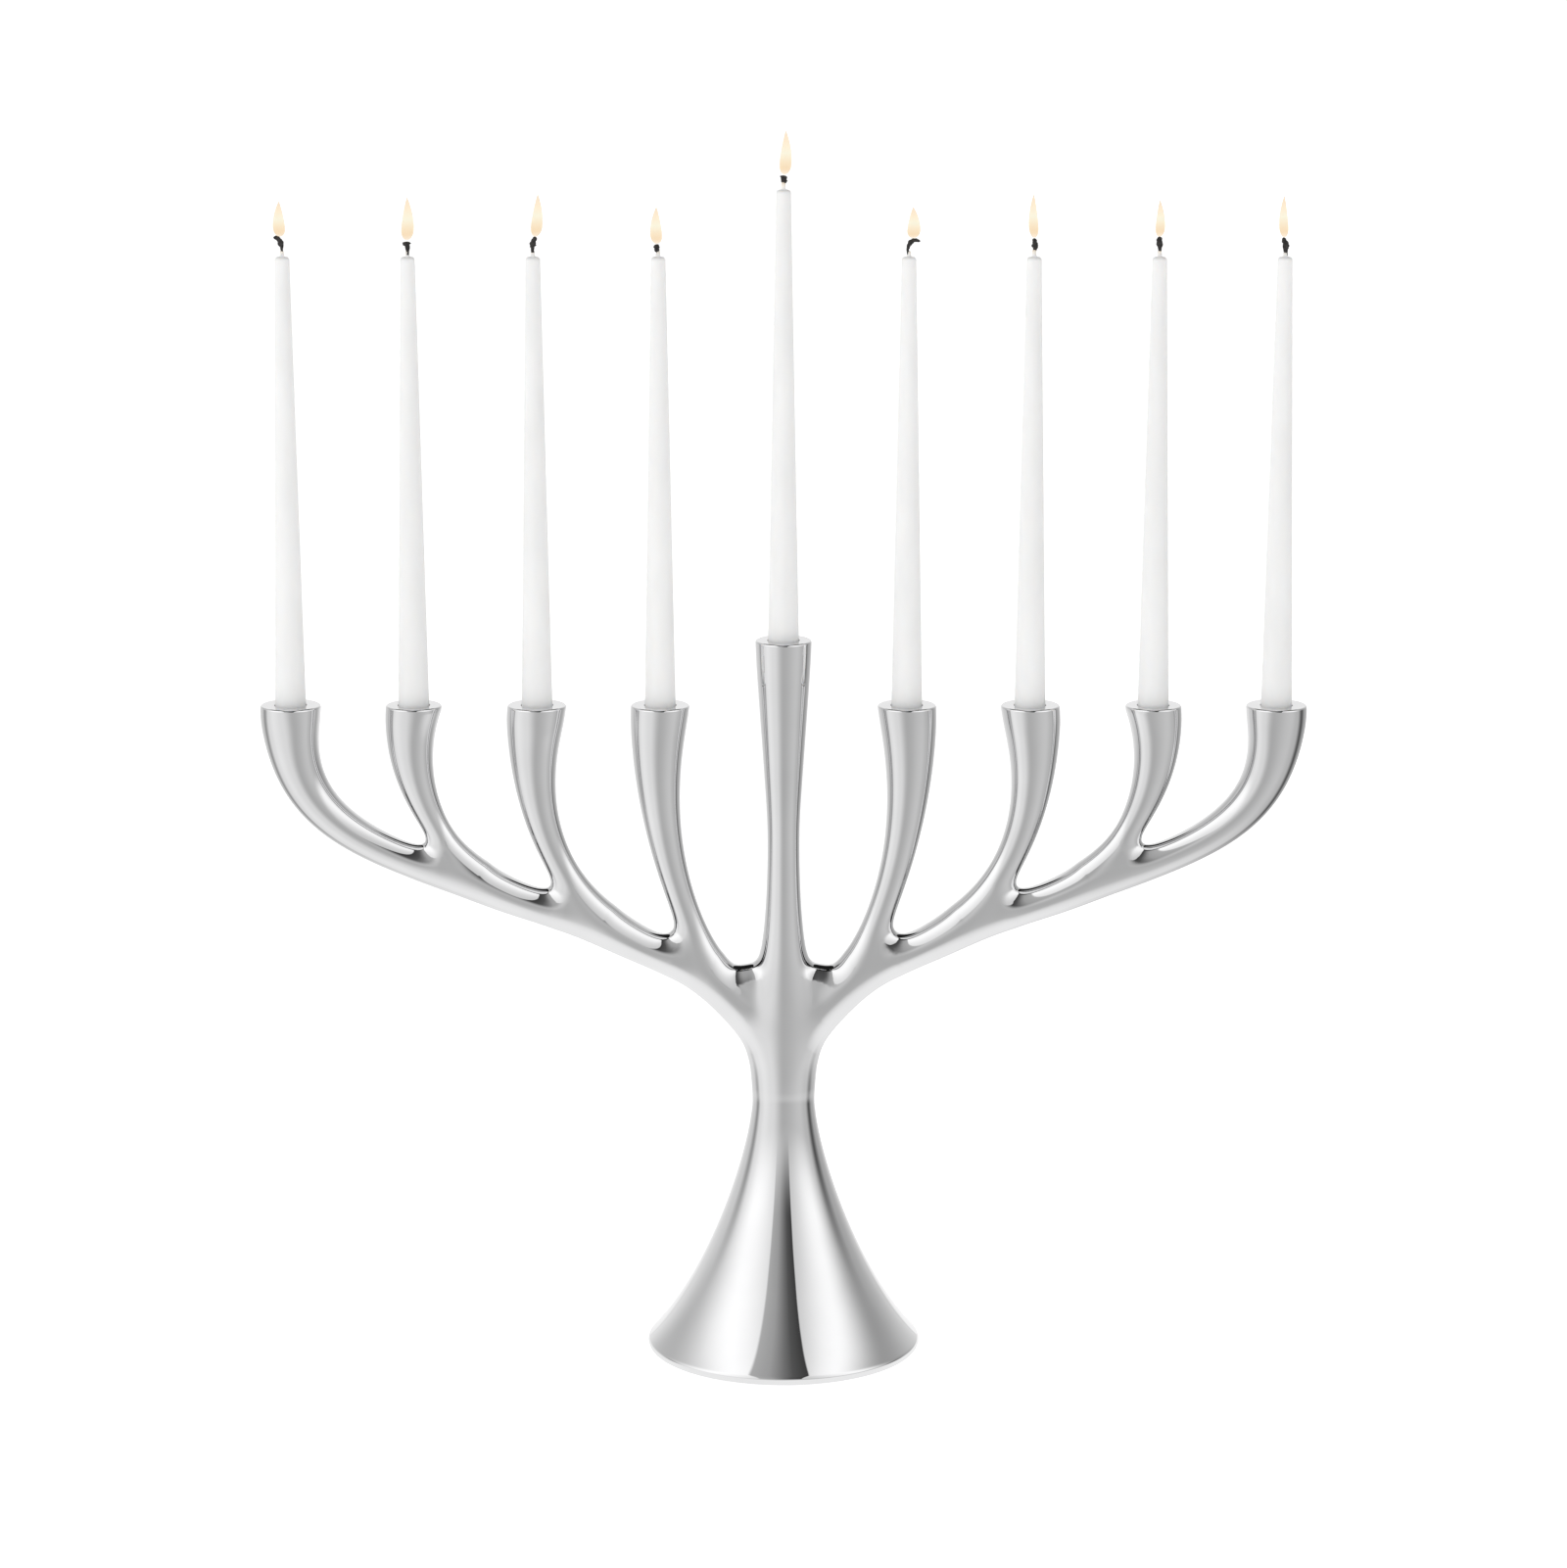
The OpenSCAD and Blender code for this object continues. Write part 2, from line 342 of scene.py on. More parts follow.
def skin(p):
    """Blended distance of points p, its slope, and which arm or column is the nearest.

    F = -k log of the sum of e to the -distance / k. Below the fork it fades into the foot's flank."""
    near, slopes = every_distance(p)
    pull = np.exp(-near / FILLET)
    total = pull.sum(0)
    drift = (pull[:, None] * slopes).sum(0) / FILLET
    x, y, z = p.T
    share, rise = smooth_step(FADE_LOW, FADE_HIGH, z)
    r, steep = flank_radius(z)
    away = np.hypot(x, y) + 1e-9
    foot_pull = np.exp(-(away - r) / FILLET)
    foot_slope = np.stack([x / away, y / away, -steep])
    whole = (1 - share) * foot_pull + share * total
    slope = (1 - share) * foot_pull * foot_slope / FILLET + share * drift
    slope[2] -= rise * (total - foot_pull)
    return -FILLET * np.log(whole), (slope * FILLET / whole).T, near[:COLUMN + 1].argmin(0)


def onto_skin(p, rounds=2):
    """Moves points along the slope until the blended distance is zero."""
    for _ in range(rounds):
        f, g, _ = skin(p)
        p = p - g * (f / (g**2).sum(1))[:, None]
    return p


# %% [markdown]
# ## A net over the forks
# Space is divided into cells of about a millimetre. A cell that the skin passes through gets one point,
# at the mean of the places where the skin cuts its edges, and points of neighbouring cells are joined
# by squares. This is called a surface net. A few rounds of evening out, each followed by a step back
# onto the skin, give clean and nearly equal faces. Only the middle and the right half are made: the
# left side is its mirror image.

# %% The net
CELL = 1.1
NET_LOW = np.array([-27.5, -15.4, foot_high - 3.3])
NET_HIGH = np.array([4 * pitch - 26, 15.4, side_top - 40])
CORNERS = np.array([(i, j, k) for i in (0, 1) for j in (0, 1) for k in (0, 1)])


def blended_grid(axes):
    """The blended distance on a whole grid. Every arm lies in the plane y = 0, so its nearest place is
    found once for each x and z, and the depth y is added by Pythagoras."""
    counts = [len(a) for a in axes]
    gx, gy, gz = np.meshgrid(*axes, indexing="ij")
    x, z = gx[:, 0].ravel(), gz[:, 0].ravel()
    total = np.exp(-column(gx.ravel(), gy.ravel(), gz.ravel())[0].reshape(counts) / FILLET)
    for side in (1, -1):
        for bar in (*arms.values(), *webs):
            _, _, r, _, _, gap = bar.nearest(side * x, z)
            r, gap = (v.reshape(counts[0], 1, counts[2]) for v in (r, gap))
            total += np.exp(-(np.sqrt(gap + gy**2) - r) / FILLET)
    share, _ = smooth_step(FADE_LOW, FADE_HIGH, gz)
    foot_pull = np.exp(-(np.hypot(gx, gy) - flank_radius(gz)[0]) / FILLET)
    return -FILLET * np.log((1 - share) * foot_pull + share * total)


# %% One point in each crossed cell


def surface_net(low, high):
    """Points of the skin, one for each crossed cell, and triangles that join neighbouring cells."""
    counts = np.ceil((high - low) / CELL).astype(int) + 1
    value = blended_grid([low[i] + CELL * np.arange(counts[i]) for i in range(3)])
    inside = value < 0
    full = sum(inside[i:counts[0] - 1 + i, j:counts[1] - 1 + j, k:counts[2] - 1 + k].astype(int)
               for i, j, k in CORNERS)
    crossed = (full > 0) & (full < 8)
    where = np.argwhere(crossed)
    number = np.full(crossed.shape, -1)
    number[crossed] = np.arange(len(where))
    at = [value[tuple((where + c).T)] for c in CORNERS]
    total, cuts = np.zeros((len(where), 3)), np.zeros(len(where))
    for a, b, axis in ((a, a + (4, 2, 1)[k], k) for a in range(8) for k in range(3) if not CORNERS[a][k]):
        cut = (at[a] < 0) != (at[b] < 0)
        share = np.where(cut, at[a] / np.where(cut, at[a] - at[b], 1), 0)
        total += np.where(cut[:, None], CORNERS[a] + share[:, None] * np.eye(3)[axis], 0)
        cuts += cut
    squares = []
    for axis in range(3):
        first = np.take(inside, np.arange(counts[axis] - 1), axis)
        second = np.take(inside, np.arange(1, counts[axis]), axis)
        changed = np.argwhere(first != second)
        u, v = np.roll(np.eye(3, dtype=int), -axis, 0)[1:]
        room = [k for k in range(3) if k != axis]
        changed = changed[(changed[:, room] > 0).all(1) & (changed[:, room] < counts[room] - 1).all(1)]
        outward = first[tuple(changed.T)]
        square = np.stack([number[tuple((changed + s).T)] for s in (-u - v, -v, 0 * u, -u)], 1)
        squares.append(np.where(outward[:, None], square, square[:, ::-1]))
    squares = np.concatenate(squares)
    return low + CELL * (where + total / cuts[:, None]), squares


def evened(points, squares, rounds=4):
    """Moves each point half way to the mean of its neighbours, then back onto the skin."""
    a = squares.ravel()
    b = np.roll(squares, -1, 1).ravel()
    ends, others = np.r_[a, b], np.r_[b, a]
    many = np.bincount(ends, minlength=len(points))[:, None]
    for _ in range(rounds):
        mean = np.stack([np.bincount(ends, points[others, k], len(points)) for k in range(3)], 1) / many
        points = onto_skin(points + 0.5 * (mean - points), 1)
    return onto_skin(points)


# %% The net of the casting
points, squares = surface_net(NET_LOW, NET_HIGH)
points = evened(points, squares)
triangles = np.concatenate([squares[:, [0, 1, 2]], squares[:, [0, 2, 3]]])
owners = skin(points[triangles].mean(1))[2]
print("net:", len(points), "points,", len(triangles), "triangles")

# %% [markdown]
# ## Where the castings are welded
# The frame has a separate part for the foot, the trunk, each bough, each branch and the shaft. The net
# is cut on the same joints: each is a flat plane, square across the bar, just outside the crotch. Every
# triangle that a plane crosses is split in two or three, so the cut edge is straight and clean.

# %% Planes of the cuts
CROTCHES = {"bough": (145, 210), "outer_branch": (145, 210),
            "middle_branch": (94, 191.5), "inner_branch": (46.5, 173)}
BEYOND_CROTCH = 4.0
FORK_WELD = np.array([21.5, 160.5])
FORK_TILT = math.radians(12)


def start_of(name):
    """Where an arm leaves the net: the share of its last curve at which a square cut clears the crotch."""
    curve = arms[name].curves[-1]
    t = np.linspace(0.02, 0.9, 300)
    place, speed, _ = cubic(curve, t)
    way = speed / np.linalg.norm(speed, axis=1)[:, None]
    past = ((place - np.array(CROTCHES[name])) * way).sum(1)
    return t[np.argmax(past > BEYOND_CROTCH)]


def plane(at, way):
    """A plane square to the plane of the arms: a point on it and its direction, both in x, y and z."""
    way = np.array([way[0], 0, way[1]], float)
    return np.array([at[0], 0, at[1]], float), way / np.linalg.norm(way)


arm_starts = {name: start_of(name) for name in arms}
planes = {
    "foot": plane((0, foot_high), (0, -1)),
    "shaft": plane((0, shaft_low), (0, 1)),
    "right": plane(FORK_WELD, heading(FORK_TILT)),
    "left": plane(FORK_WELD * (-1, 1), heading(FORK_TILT) * (-1, 1)),
}
for name, arm in arms.items():
    place, speed, _ = cubic(arm.curves[-1], arm_starts[name])
    planes[name] = plane(place, speed)

# %% Cutting triangles along a plane
SNAP = 0.25


def cut(points, triangles, owners, among, at, way):
    """Splits the chosen triangles where a plane crosses them. Points very near the plane count as on it,
    and all points on the cut are moved along the plane until they are on the skin."""
    side = (points - at) @ way
    sign = np.where(abs(side) < SNAP, 0, np.sign(side))
    s = sign[triangles]
    crossing = among & (s.min(1) < 0) & (s.max(1) > 0)
    t, s, own = triangles[crossing], s[crossing], owners[crossing]
    touching = (s == 0).any(1)
    first = np.where(touching, (s == 0).argmax(1), (s == -s.sum(1)[:, None]).argmax(1))
    t = np.take_along_axis(t, (first[:, None] + np.arange(3)) % 3, 1)
    one, two = t[touching], t[~touching]
    edges = np.concatenate([one[:, [1, 2]], two[:, [0, 1]], two[:, [0, 2]]])
    edges, back = np.unique(np.sort(edges, 1), axis=0, return_inverse=True)
    back = back.ravel() + len(points)
    share = side[edges[:, 0]] / (side[edges[:, 0]] - side[edges[:, 1]])
    fresh = points[edges[:, 0]] + share[:, None] * (points[edges[:, 1]] - points[edges[:, 0]])
    n, m = len(one), len(two)
    a, b, c = back[:n], back[n:n + m], back[n + m:]
    pieces = np.concatenate([
        np.stack([one[:, 0], one[:, 1], a], 1), np.stack([one[:, 0], a, one[:, 2]], 1),
        np.stack([two[:, 0], b, c], 1), np.stack([b, two[:, 1], two[:, 2]], 1),
        np.stack([b, two[:, 2], c], 1),
    ])
    own = np.concatenate([own[touching], own[touching]] + [own[~touching]] * 3)
    chosen = np.unique(triangles[among])
    ring = np.r_[chosen[sign[chosen] == 0], np.arange(len(points), len(points) + len(fresh))]
    points = np.concatenate([points, fresh])
    for _ in range(4):
        p = points[ring]
        p = p - ((p - at) @ way)[:, None] * way
        f, g, _ = skin(p)
        g = g - (g @ way)[:, None] * way
        points[ring] = p - g * (f / (g**2).sum(1))[:, None]
    triangles = np.concatenate([triangles[~crossing], pieces])
    return points, triangles, np.r_[owners[~crossing], own], ring


# %% The cuts, one after another
HEART_DEPTH = 14
LAST_CROTCH_BACK = 20
rings = {}
for name, (at, way) in planes.items():
    x, _, z = points[triangles].mean(1).T
    if name in arms:
        among = owners == arm_names.index(name)
    elif name in ("right", "left"):
        among = (x * way[0] > 0) & (z < shaft_low - HEART_DEPTH)
    else:
        among = (abs(x) < foot_rim / 2) & (abs(z - at[2]) < 6)
        if name == "shaft":
            among &= owners == COLUMN
    if name == "bough":
        among &= x > CROTCHES[name][0] - LAST_CROTCH_BACK
    points, triangles, owners, rings[name] = cut(points, triangles, owners, among, at, way)


def beyond(name):
    """Which triangles lie on the far side of a plane."""
    at, way = planes[name]
    return (points[triangles].mean(1) - at) @ way > 0


# %% Which triangles make which piece
x, _, z = points[triangles].mean(1).T
arm_part = np.zeros(len(triangles), bool)
for name in arms:
    far = beyond(name) & (owners == arm_names.index(name))
    arm_part |= far & ((name != "bough") | (x > CROTCHES[name][0] - LAST_CROTCH_BACK))
shaft_part = beyond("shaft") & (owners == COLUMN)
right_part = (x > 0) & beyond("right") & (owners != COLUMN) & ~arm_part
left_part = (x < 0) & (beyond("left") | (z > shaft_low - HEART_DEPTH)) & (owners != COLUMN)
trunk_part = ~(arm_part | shaft_part | right_part | left_part | beyond("foot"))
print("trunk:", trunk_part.sum(), "bough:", right_part.sum(), "triangles")


def edge_of(faces, ring):
    """Edges of a patch of triangles that lie on a cut and belong to one face only, in their own turn."""
    edges = np.concatenate([faces[:, [0, 1]], faces[:, [1, 2]], faces[:, [2, 0]]])
    key = np.sort(edges, 1) @ np.array([len(points), 1])
    _, index, count = np.unique(key, return_index=True, return_counts=True)
    edges = edges[index[count == 1]]
    return edges[np.isin(edges, ring).all(1)]


for label, part, names in (("trunk", trunk_part, ("foot", "shaft", "right", "left")),
                           ("bough", right_part, ("right", *arms))):
    faces = triangles[part]
    found = sum(len(edge_of(faces, rings[n])) for n in names)
    edges = np.concatenate([faces[:, [0, 1]], faces[:, [1, 2]], faces[:, [2, 0]]])
    open_edges = (np.unique(np.sort(edges, 1), axis=0, return_counts=True)[1] == 1).sum()
    print(label, "edges on the cuts:", found, "of", open_edges, "open edges")

# %% [markdown]
# ## Making a piece
# A piece is gathered as points, directions and faces, then handed to Blender in one go. The directions
# come from the formula of the surface. Blender keeps them as custom normals, so a mirror finish shows
# the true curve and not the small flat faces.

# %% A piece from arrays


class Gathered:
    """Points, directions and faces of one piece, added patch by patch."""

    def __init__(self):
        self.points, self.ways, self.faces, self.count = [], [], [], 0

    def add(self, points, ways):
        points = np.asarray(points, float).reshape(-1, 3)
        ways = np.broadcast_to(np.asarray(ways, float), points.shape)
        self.points.append(points)
        self.ways.append(ways)
        self.count += len(points)
        return self.count - len(points) + np.arange(len(points))

    def face(self, faces):
        self.faces += np.asarray(faces).tolist()

    def fan(self, ring_edges, middle, way):
        """Closes a ring: one triangle from each edge, taken backwards, to a point in the middle."""
        tip = self.add([middle], [way])[0]
        self.face(np.column_stack([ring_edges[:, ::-1], np.full(len(ring_edges), tip)]))

    def piece(self, name, body, node, slot, material, mirror=False):
        """Makes the object, or its mirror image, on its body of the frame in place of a frame node."""
        points, ways = np.concatenate(self.points), np.concatenate(self.ways)
        faces = self.faces
        if mirror:
            points, ways = points * (-1, 1, 1), ways * (-1, 1, 1)
            faces = [f[::-1] for f in faces]
        mesh = bpy.data.meshes.new(name)
        mesh.from_pydata(points * MM, [], faces)
        mesh.polygons.foreach_set("use_smooth", np.ones(len(faces), bool))
        mesh.normals_split_custom_set_from_vertices(ways)
        mesh.materials.append(material)
        made = bpy.data.objects.new(name, mesh)
        bpy.context.scene.collection.objects.link(made)
        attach(made, body)
        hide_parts(node)
        return made


def unit(v):
    """Directions of length one."""
    return v / np.linalg.norm(v, axis=-1, keepdims=True)


def compact(gathered, faces):
    """Adds the net's points that a patch uses, with their directions. Returns the faces renumbered and
    where each net point went."""
    used, back = np.unique(faces, return_inverse=True)
    index = gathered.add(points[used], unit(skin(points[used])[1]))
    place = np.full(len(points), -1)
    place[used] = index
    return index[back.reshape(faces.shape)], place


# %% [markdown]
# ## Polished steel
# The casting is stainless steel, ground and then polished on a felt wheel until it mirrors the room.
# No such mirror is perfect: the wheel leaves broad, shallow waves and a haze of hair-fine lines, and the
# metal is a little duller where fingers and candle wax have been wiped off. Noise at three scales gives
# the waves (a very faint bump), the haze (roughness) and the hair lines. The base colour is the steel's
# own reflectance.

# %% Steel


def material(name):
    """A new node material: its tree, its Principled shader and a node that gives Object coordinates."""
    made = bpy.data.materials.new(name)
    made.use_nodes = True
    tree = made.node_tree
    shader = tree.nodes["Principled BSDF"]
    coordinates = tree.nodes.new("ShaderNodeTexCoord").outputs["Object"]
    return made, tree, shader, coordinates


def node(tree, kind, inputs=(), **settings):
    """Adds a node, sets its options and fills its inputs with values or links."""
    made = tree.nodes.new(kind)
    for key, value in settings.items():
        setattr(made, key, value)
    for key, value in dict(inputs).items():
        if isinstance(value, bpy.types.NodeSocket):
            tree.links.new(value, made.inputs[key])
        else:
            made.inputs[key].default_value = value
    return made


def noise(tree, where, scale, detail=2.0, stretch=(1, 1, 1)):
    """Soft random pattern from 0 to 1 with scale bumps to the metre, drawn out along an axis if wished."""
    mapped = node(tree, "ShaderNodeMapping", {"Vector": where, "Scale": stretch}).outputs[0]
    made = node(tree, "ShaderNodeTexNoise", {"Vector": mapped, "Scale": scale, "Detail": detail})
    return made.outputs["Fac"]


def between(tree, value, low, high):
    """Spreads a pattern's usual range, 0.3 to 0.7, over low to high."""
    made = node(tree, "ShaderNodeMapRange", {
        "Value": value, "From Min": 0.3, "From Max": 0.7, "To Min": low, "To Max": high})
    return made.outputs[0]


def tint(tree, value, low, high):
    """A colour that runs from low to high with a pattern."""
    ramp = node(tree, "ShaderNodeValToRGB", {"Fac": value})
    ramp.color_ramp.elements[0].position, ramp.color_ramp.elements[1].position = 0.3, 0.7
    ramp.color_ramp.elements[0].color, ramp.color_ramp.elements[1].color = low, high
    return ramp.outputs["Color"]


STEEL_LOW, STEEL_HIGH = (0.78, 0.78, 0.785, 1), (0.83, 0.83, 0.835, 1)


def polished_steel():
    made, tree, shader, where = material("mirror_steel")
    wiped = noise(tree, where, 28, 3)
    haze = between(tree, wiped, 0.014, 0.034)
    hairs = between(tree, noise(tree, where, 420, 2, (1, 1, 6)), -0.006, 0.006)
    roughness = node(tree, "ShaderNodeMath", {0: haze, 1: hairs}, operation="ADD").outputs[0]
    waves = noise(tree, where, 60, 1)
    bump = node(tree, "ShaderNodeBump", {"Height": waves, "Strength": 0.035, "Distance": 0.0006})
    tree.links.new(tint(tree, wiped, STEEL_LOW, STEEL_HIGH), shader.inputs["Base Color"])
    tree.links.new(roughness, shader.inputs["Roughness"])
    tree.links.new(bump.outputs["Normal"], shader.inputs["Normal"])
    shader.inputs["Metallic"].default_value = 1.0
    return made


steel = polished_steel()
print("finish:", steel.name)

# %% [markdown]
# ## Trunk
# The trunk is the heart of the fork: waist, Y and the first centimetres of the shaft. It is the net
# between four cuts. Each cut is closed with a flat cap, so the piece is a solid of its own.

# %% Trunk
ROOT_BODY = frame["nodes"]["foot"]["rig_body"]


def capped(gathered, faces, place, names, tag):
    """Closes the named cuts of a net patch with flat caps."""
    for name in names:
        at, way = planes[name]
        edges = edge_of(faces, rings[name])
        middle = points[edges.ravel()].mean(0)
        gathered.fan(place[edges], middle, way)
        print(tag, name, "cap of", len(edges), "edges, middle", middle.round(1))


faces = triangles[trunk_part]
trunk = Gathered()
renumbered, place = compact(trunk, faces)
trunk.face(renumbered)
capped(trunk, faces, place, ("foot", "shaft", "right", "left"), "trunk")
trunk.piece("trunk_skin", ROOT_BODY, "trunk", "polished_steel", steel)

# %% [markdown]
# ## Arms carried along their curves
# Away from the forks an arm is a round section carried along its curve, so it can be a grid of two
# parameters: how far along, and the turn about the curve. The ring of the cut gives the turns. At every
# station the radius is found on the skin formula, by Newton's steps along the ray. Towards the socket
# the sections turn level, so that the top comes out flat.

# %% An arm from its cut to its rim
ROUNDING = 0.9
STATION = 1.3
LEVELLING = 24
BORE_EDGE = 0.35


def stations(curve, t_start, end_z):
    """Places along a curve and the direction of each section, which turns upright near the end."""
    fine = np.linspace(t_start, 1, 400)
    place, speed, _ = cubic(curve, fine)
    run = np.r_[0, np.cumsum(np.linalg.norm(np.diff(place, axis=0), axis=1))]
    stop = np.interp(end_z, place[:, 1], run)
    at = np.linspace(0, stop, int(stop / STATION) + 1)
    place = np.column_stack([np.interp(at, run, place[:, k]) for k in (0, 1)])
    way = unit(np.column_stack([np.interp(at, run, unit(speed)[:, k]) for k in (0, 1)]))
    upright = smooth_step(0, LEVELLING, LEVELLING - (stop - at))[0][:, None]
    return place, unit(way * (1 - upright) + np.array([0, 1]) * upright)


def arm_tube(curve, t_start, end_z, ring):
    """Grid of points on the skin: rows are stations, columns the turns of the ring's points."""
    place, way = stations(curve, t_start, end_z)
    across = np.column_stack([way[:, 1], -way[:, 0]])
    first = ring - np.array([place[0, 0], 0, place[0, 1]])
    turn = np.arctan2(first[:, 1], first[:, 0] * across[0, 0] + first[:, 2] * across[0, 1])
    rays = np.cos(turn)[None, :, None] * np.insert(across, 1, 0, 1)[:, None]
    rays = rays + np.sin(turn)[None, :, None] * np.array([0, 1, 0])
    centres = np.insert(place, 1, 0, 1)[:, None]
    r = np.broadcast_to(np.linalg.norm(first, axis=1), rays.shape[:2]) * 0.85
    for _ in range(14):
        f, g, _ = skin((centres + r[..., None] * rays).reshape(-1, 3))
        steep = np.maximum((g.reshape(rays.shape) * rays).sum(-1), 0.3)
        r = r - np.clip(f.reshape(r.shape) / steep, -0.9, 0.9)
    grid = centres + r[..., None] * rays
    grid[0] = ring
    ways = unit(skin(grid.reshape(-1, 3))[1]).reshape(grid.shape)
    return grid, ways, turn


# %% From the rim down into the bore


def arm_shell(gathered, curve, t_start, top, axis_x, ring, edges, first_row):
    """Adds an arm from its ring to its socket: side, rounded edge, flat rim, bore and floor of the bore."""
    side, ways, turn = arm_tube(curve, t_start, top - ROUNDING, ring)
    rows = [first_row] + [gathered.add(p, w) for p, w in zip(side[1:], ways[1:])]
    level = np.column_stack([np.cos(turn), np.sin(turn), np.zeros_like(turn)])
    up = np.array([0, 0, 1])
    rim = side[-1]
    for angle in np.radians([18, 36, 54, 72, 90]):
        drop = ROUNDING * (level * (math.cos(angle) - 1) + up * math.sin(angle))
        way = math.cos(angle) * level + math.sin(angle) * up
        rows.append(gathered.add(rim + drop, way))
    outer = rim - ROUNDING * level + ROUNDING * up
    axis = np.array([axis_x, 0, top])
    inner = axis + (BORE_R + BORE_EDGE) * level
    for share in (0.35, 0.7, 1):
        rows.append(gathered.add(outer + share * (inner - outer), up))
    for angle in np.radians([30, 60, 90]):
        drop = -BORE_EDGE * (level * math.sin(angle) + up * (1 - math.cos(angle)))
        rows.append(gathered.add(inner + drop, math.cos(angle) * up - math.sin(angle) * level))
    for depth in (bore_depth / 2, bore_depth):
        rows.append(gathered.add(axis + BORE_R * level - depth * up, -level))
    a, b = edges.T
    for low, high in zip(rows, rows[1:]):
        gathered.face(np.column_stack([low[a], low[b], high[b], high[a]]))
    tip = gathered.add([axis - bore_depth * up], [up])[0]
    gathered.face(np.column_stack([rows[-1][a], rows[-1][b], np.full(len(a), tip)]))


def ring_of(faces, name):
    """The points of a cut's edge in the net, and its edges as pairs of their order numbers, turned for
    the piece on the far side."""
    edges = edge_of(faces, rings[name])[:, ::-1]
    used, back = np.unique(edges, return_inverse=True)
    return used, back.reshape(edges.shape)


# %% The six branches
for side, mirror in (("right", False), ("left", True)):
    for number, name in ((3, "outer_branch"), (2, "middle_branch"), (1, "inner_branch")):
        used, edges = ring_of(triangles[right_part], name)
        arm = Gathered()
        ring = points[used]
        at, way = planes[name]
        first_row = arm.add(ring, unit(skin(ring)[1]))
        arm_shell(arm, arms[name].curves[-1], arm_starts[name], side_top, number * pitch,
                  ring, edges, first_row)
        arm.fan(first_row[edges], at, -way)
        made = arm.piece(f"{side}_{name}_skin", ROOT_BODY, f"{side}_{name}", "polished_steel", steel,
                         mirror)
        print(made.name, "has", len(arm.faces), "faces")

# %% [markdown]
# ## Boughs
# A bough is the net from the trunk to the last crotch, and from there one more arm up to the outermost
# socket. Both halves share the ring between them, so the bough is one closed surface.

# %% Boughs
faces = triangles[right_part]
for side, mirror in (("right", False), ("left", True)):
    shell = Gathered()
    renumbered, place = compact(shell, faces)
    shell.face(renumbered)
    capped(shell, faces, place, ("outer_branch", "middle_branch", "inner_branch"), side)
    edges = edge_of(faces, rings["right"])
    shell.fan(place[edges], points[edges.ravel()].mean(0), -planes["right"][1])
    used, edges = ring_of(faces, "bough")
    arm_shell(shell, arms["bough"].curves[-1], arm_starts["bough"], side_top, 4 * pitch,
              points[used], edges, place[used])
    shell.piece(f"{side}_bough_skin", ROOT_BODY, f"{side}_bough", "polished_steel", steel, mirror)

# %% [markdown]
# ## Centre shaft
# The shaft stands straight up from the trunk and carries the serving light, a little above the others.
# It is made as an arm on an upright line.

# %% Centre shaft
used, edges = ring_of(triangles[trunk_part], "shaft")
ring = points[used]
shaft = Gathered()
first_row = shaft.add(ring, unit(skin(ring)[1]))
upright = np.column_stack([np.zeros(4), np.linspace(shaft_low, centre_top, 4)])
arm_shell(shaft, upright, 0, centre_top, 0, ring, edges, first_row)
shaft.fan(first_row[edges], (0, 0, shaft_low), (0, 0, -1))
shaft.piece("centre_shaft_skin", ROOT_BODY, "centre_shaft", "polished_steel", steel)

# %% [markdown]
# ## Foot
# The foot is turned on a lathe: one outline carried round the upright axis. The outline runs down the
# flank, round the rim, under the edge and up the hollow inside, so the piece is a real shell with the
# weight plate under it. Every point's direction is square to the outline.

# %% Foot
ROUND = 192


def lathe(gathered, outline, ways, columns, middle=(0, 0)):
    """Carries an outline of (radius, height) pairs round an upright axis: a point is the radius times
    cosine and sine of the turn. The first and last pair lie on the axis."""
    turn = np.linspace(0, 2 * np.pi, columns, endpoint=False)
    cos, sin = np.cos(turn), np.sin(turn)
    shift = np.array([middle[0], middle[1], 0])
    rows = []
    for (r, z), (wr, wz) in zip(outline[1:-1], ways[1:-1]):
        ring = np.column_stack([r * cos, r * sin, np.full(columns, z)]) + shift
        rows.append(gathered.add(ring, np.column_stack([wr * cos, wr * sin, np.full(columns, wz)])))
    for low, high in zip(rows, rows[1:]):
        gathered.face(np.column_stack([low, high, np.roll(high, -1), np.roll(low, -1)]))
    for row, (_, z), way in ((rows[0][::-1], outline[0], 1), (rows[-1], outline[-1], -1)):
        tip = gathered.add([shift + (0, 0, z)], [(0, 0, way)])[0]
        gathered.face(np.column_stack([row, np.full(columns, tip), np.roll(row, -1)]))


def square_to(outline):
    """Directions square to an outline that runs down its outside, from the differences of neighbours."""
    step = np.gradient(outline, axis=0)
    return unit(np.column_stack([-step[:, 1], step[:, 0]]))


# %% The foot's outline, carried round
FOOT_WALL = 3.5
INSIDE_SHARE = 1.25
side_t = np.linspace(0, 1, 90)
side_line = cubic(flank, side_t)[0][::-1]
side_line = side_line[side_line[:, 1] < foot_high]
side_line = np.vstack([[flank_radius(foot_high)[0], foot_high], side_line])
rim_turns = np.radians(np.arange(40, -91, -6.5))
rim_line = rim_middle + RIM_R * np.column_stack([np.cos(rim_turns), np.sin(rim_turns)])
seat_r = foot_rim - FOOT_WALL
hollow = side_line[(side_line[:, 1] > seat_high + 3) & (side_line[:, 1] < foot_high - 8)][::-1]
hollow = hollow - (FOOT_WALL * INSIDE_SHARE, 0)
below = np.array([[seat_r + 0.4, foot_low], [seat_r, foot_low + 0.4], [seat_r, seat_high],
                  [hollow[0, 0], seat_high]])
outline = np.vstack([[0, foot_high], side_line, rim_line, below, hollow, [0, hollow[-1, 1]]])
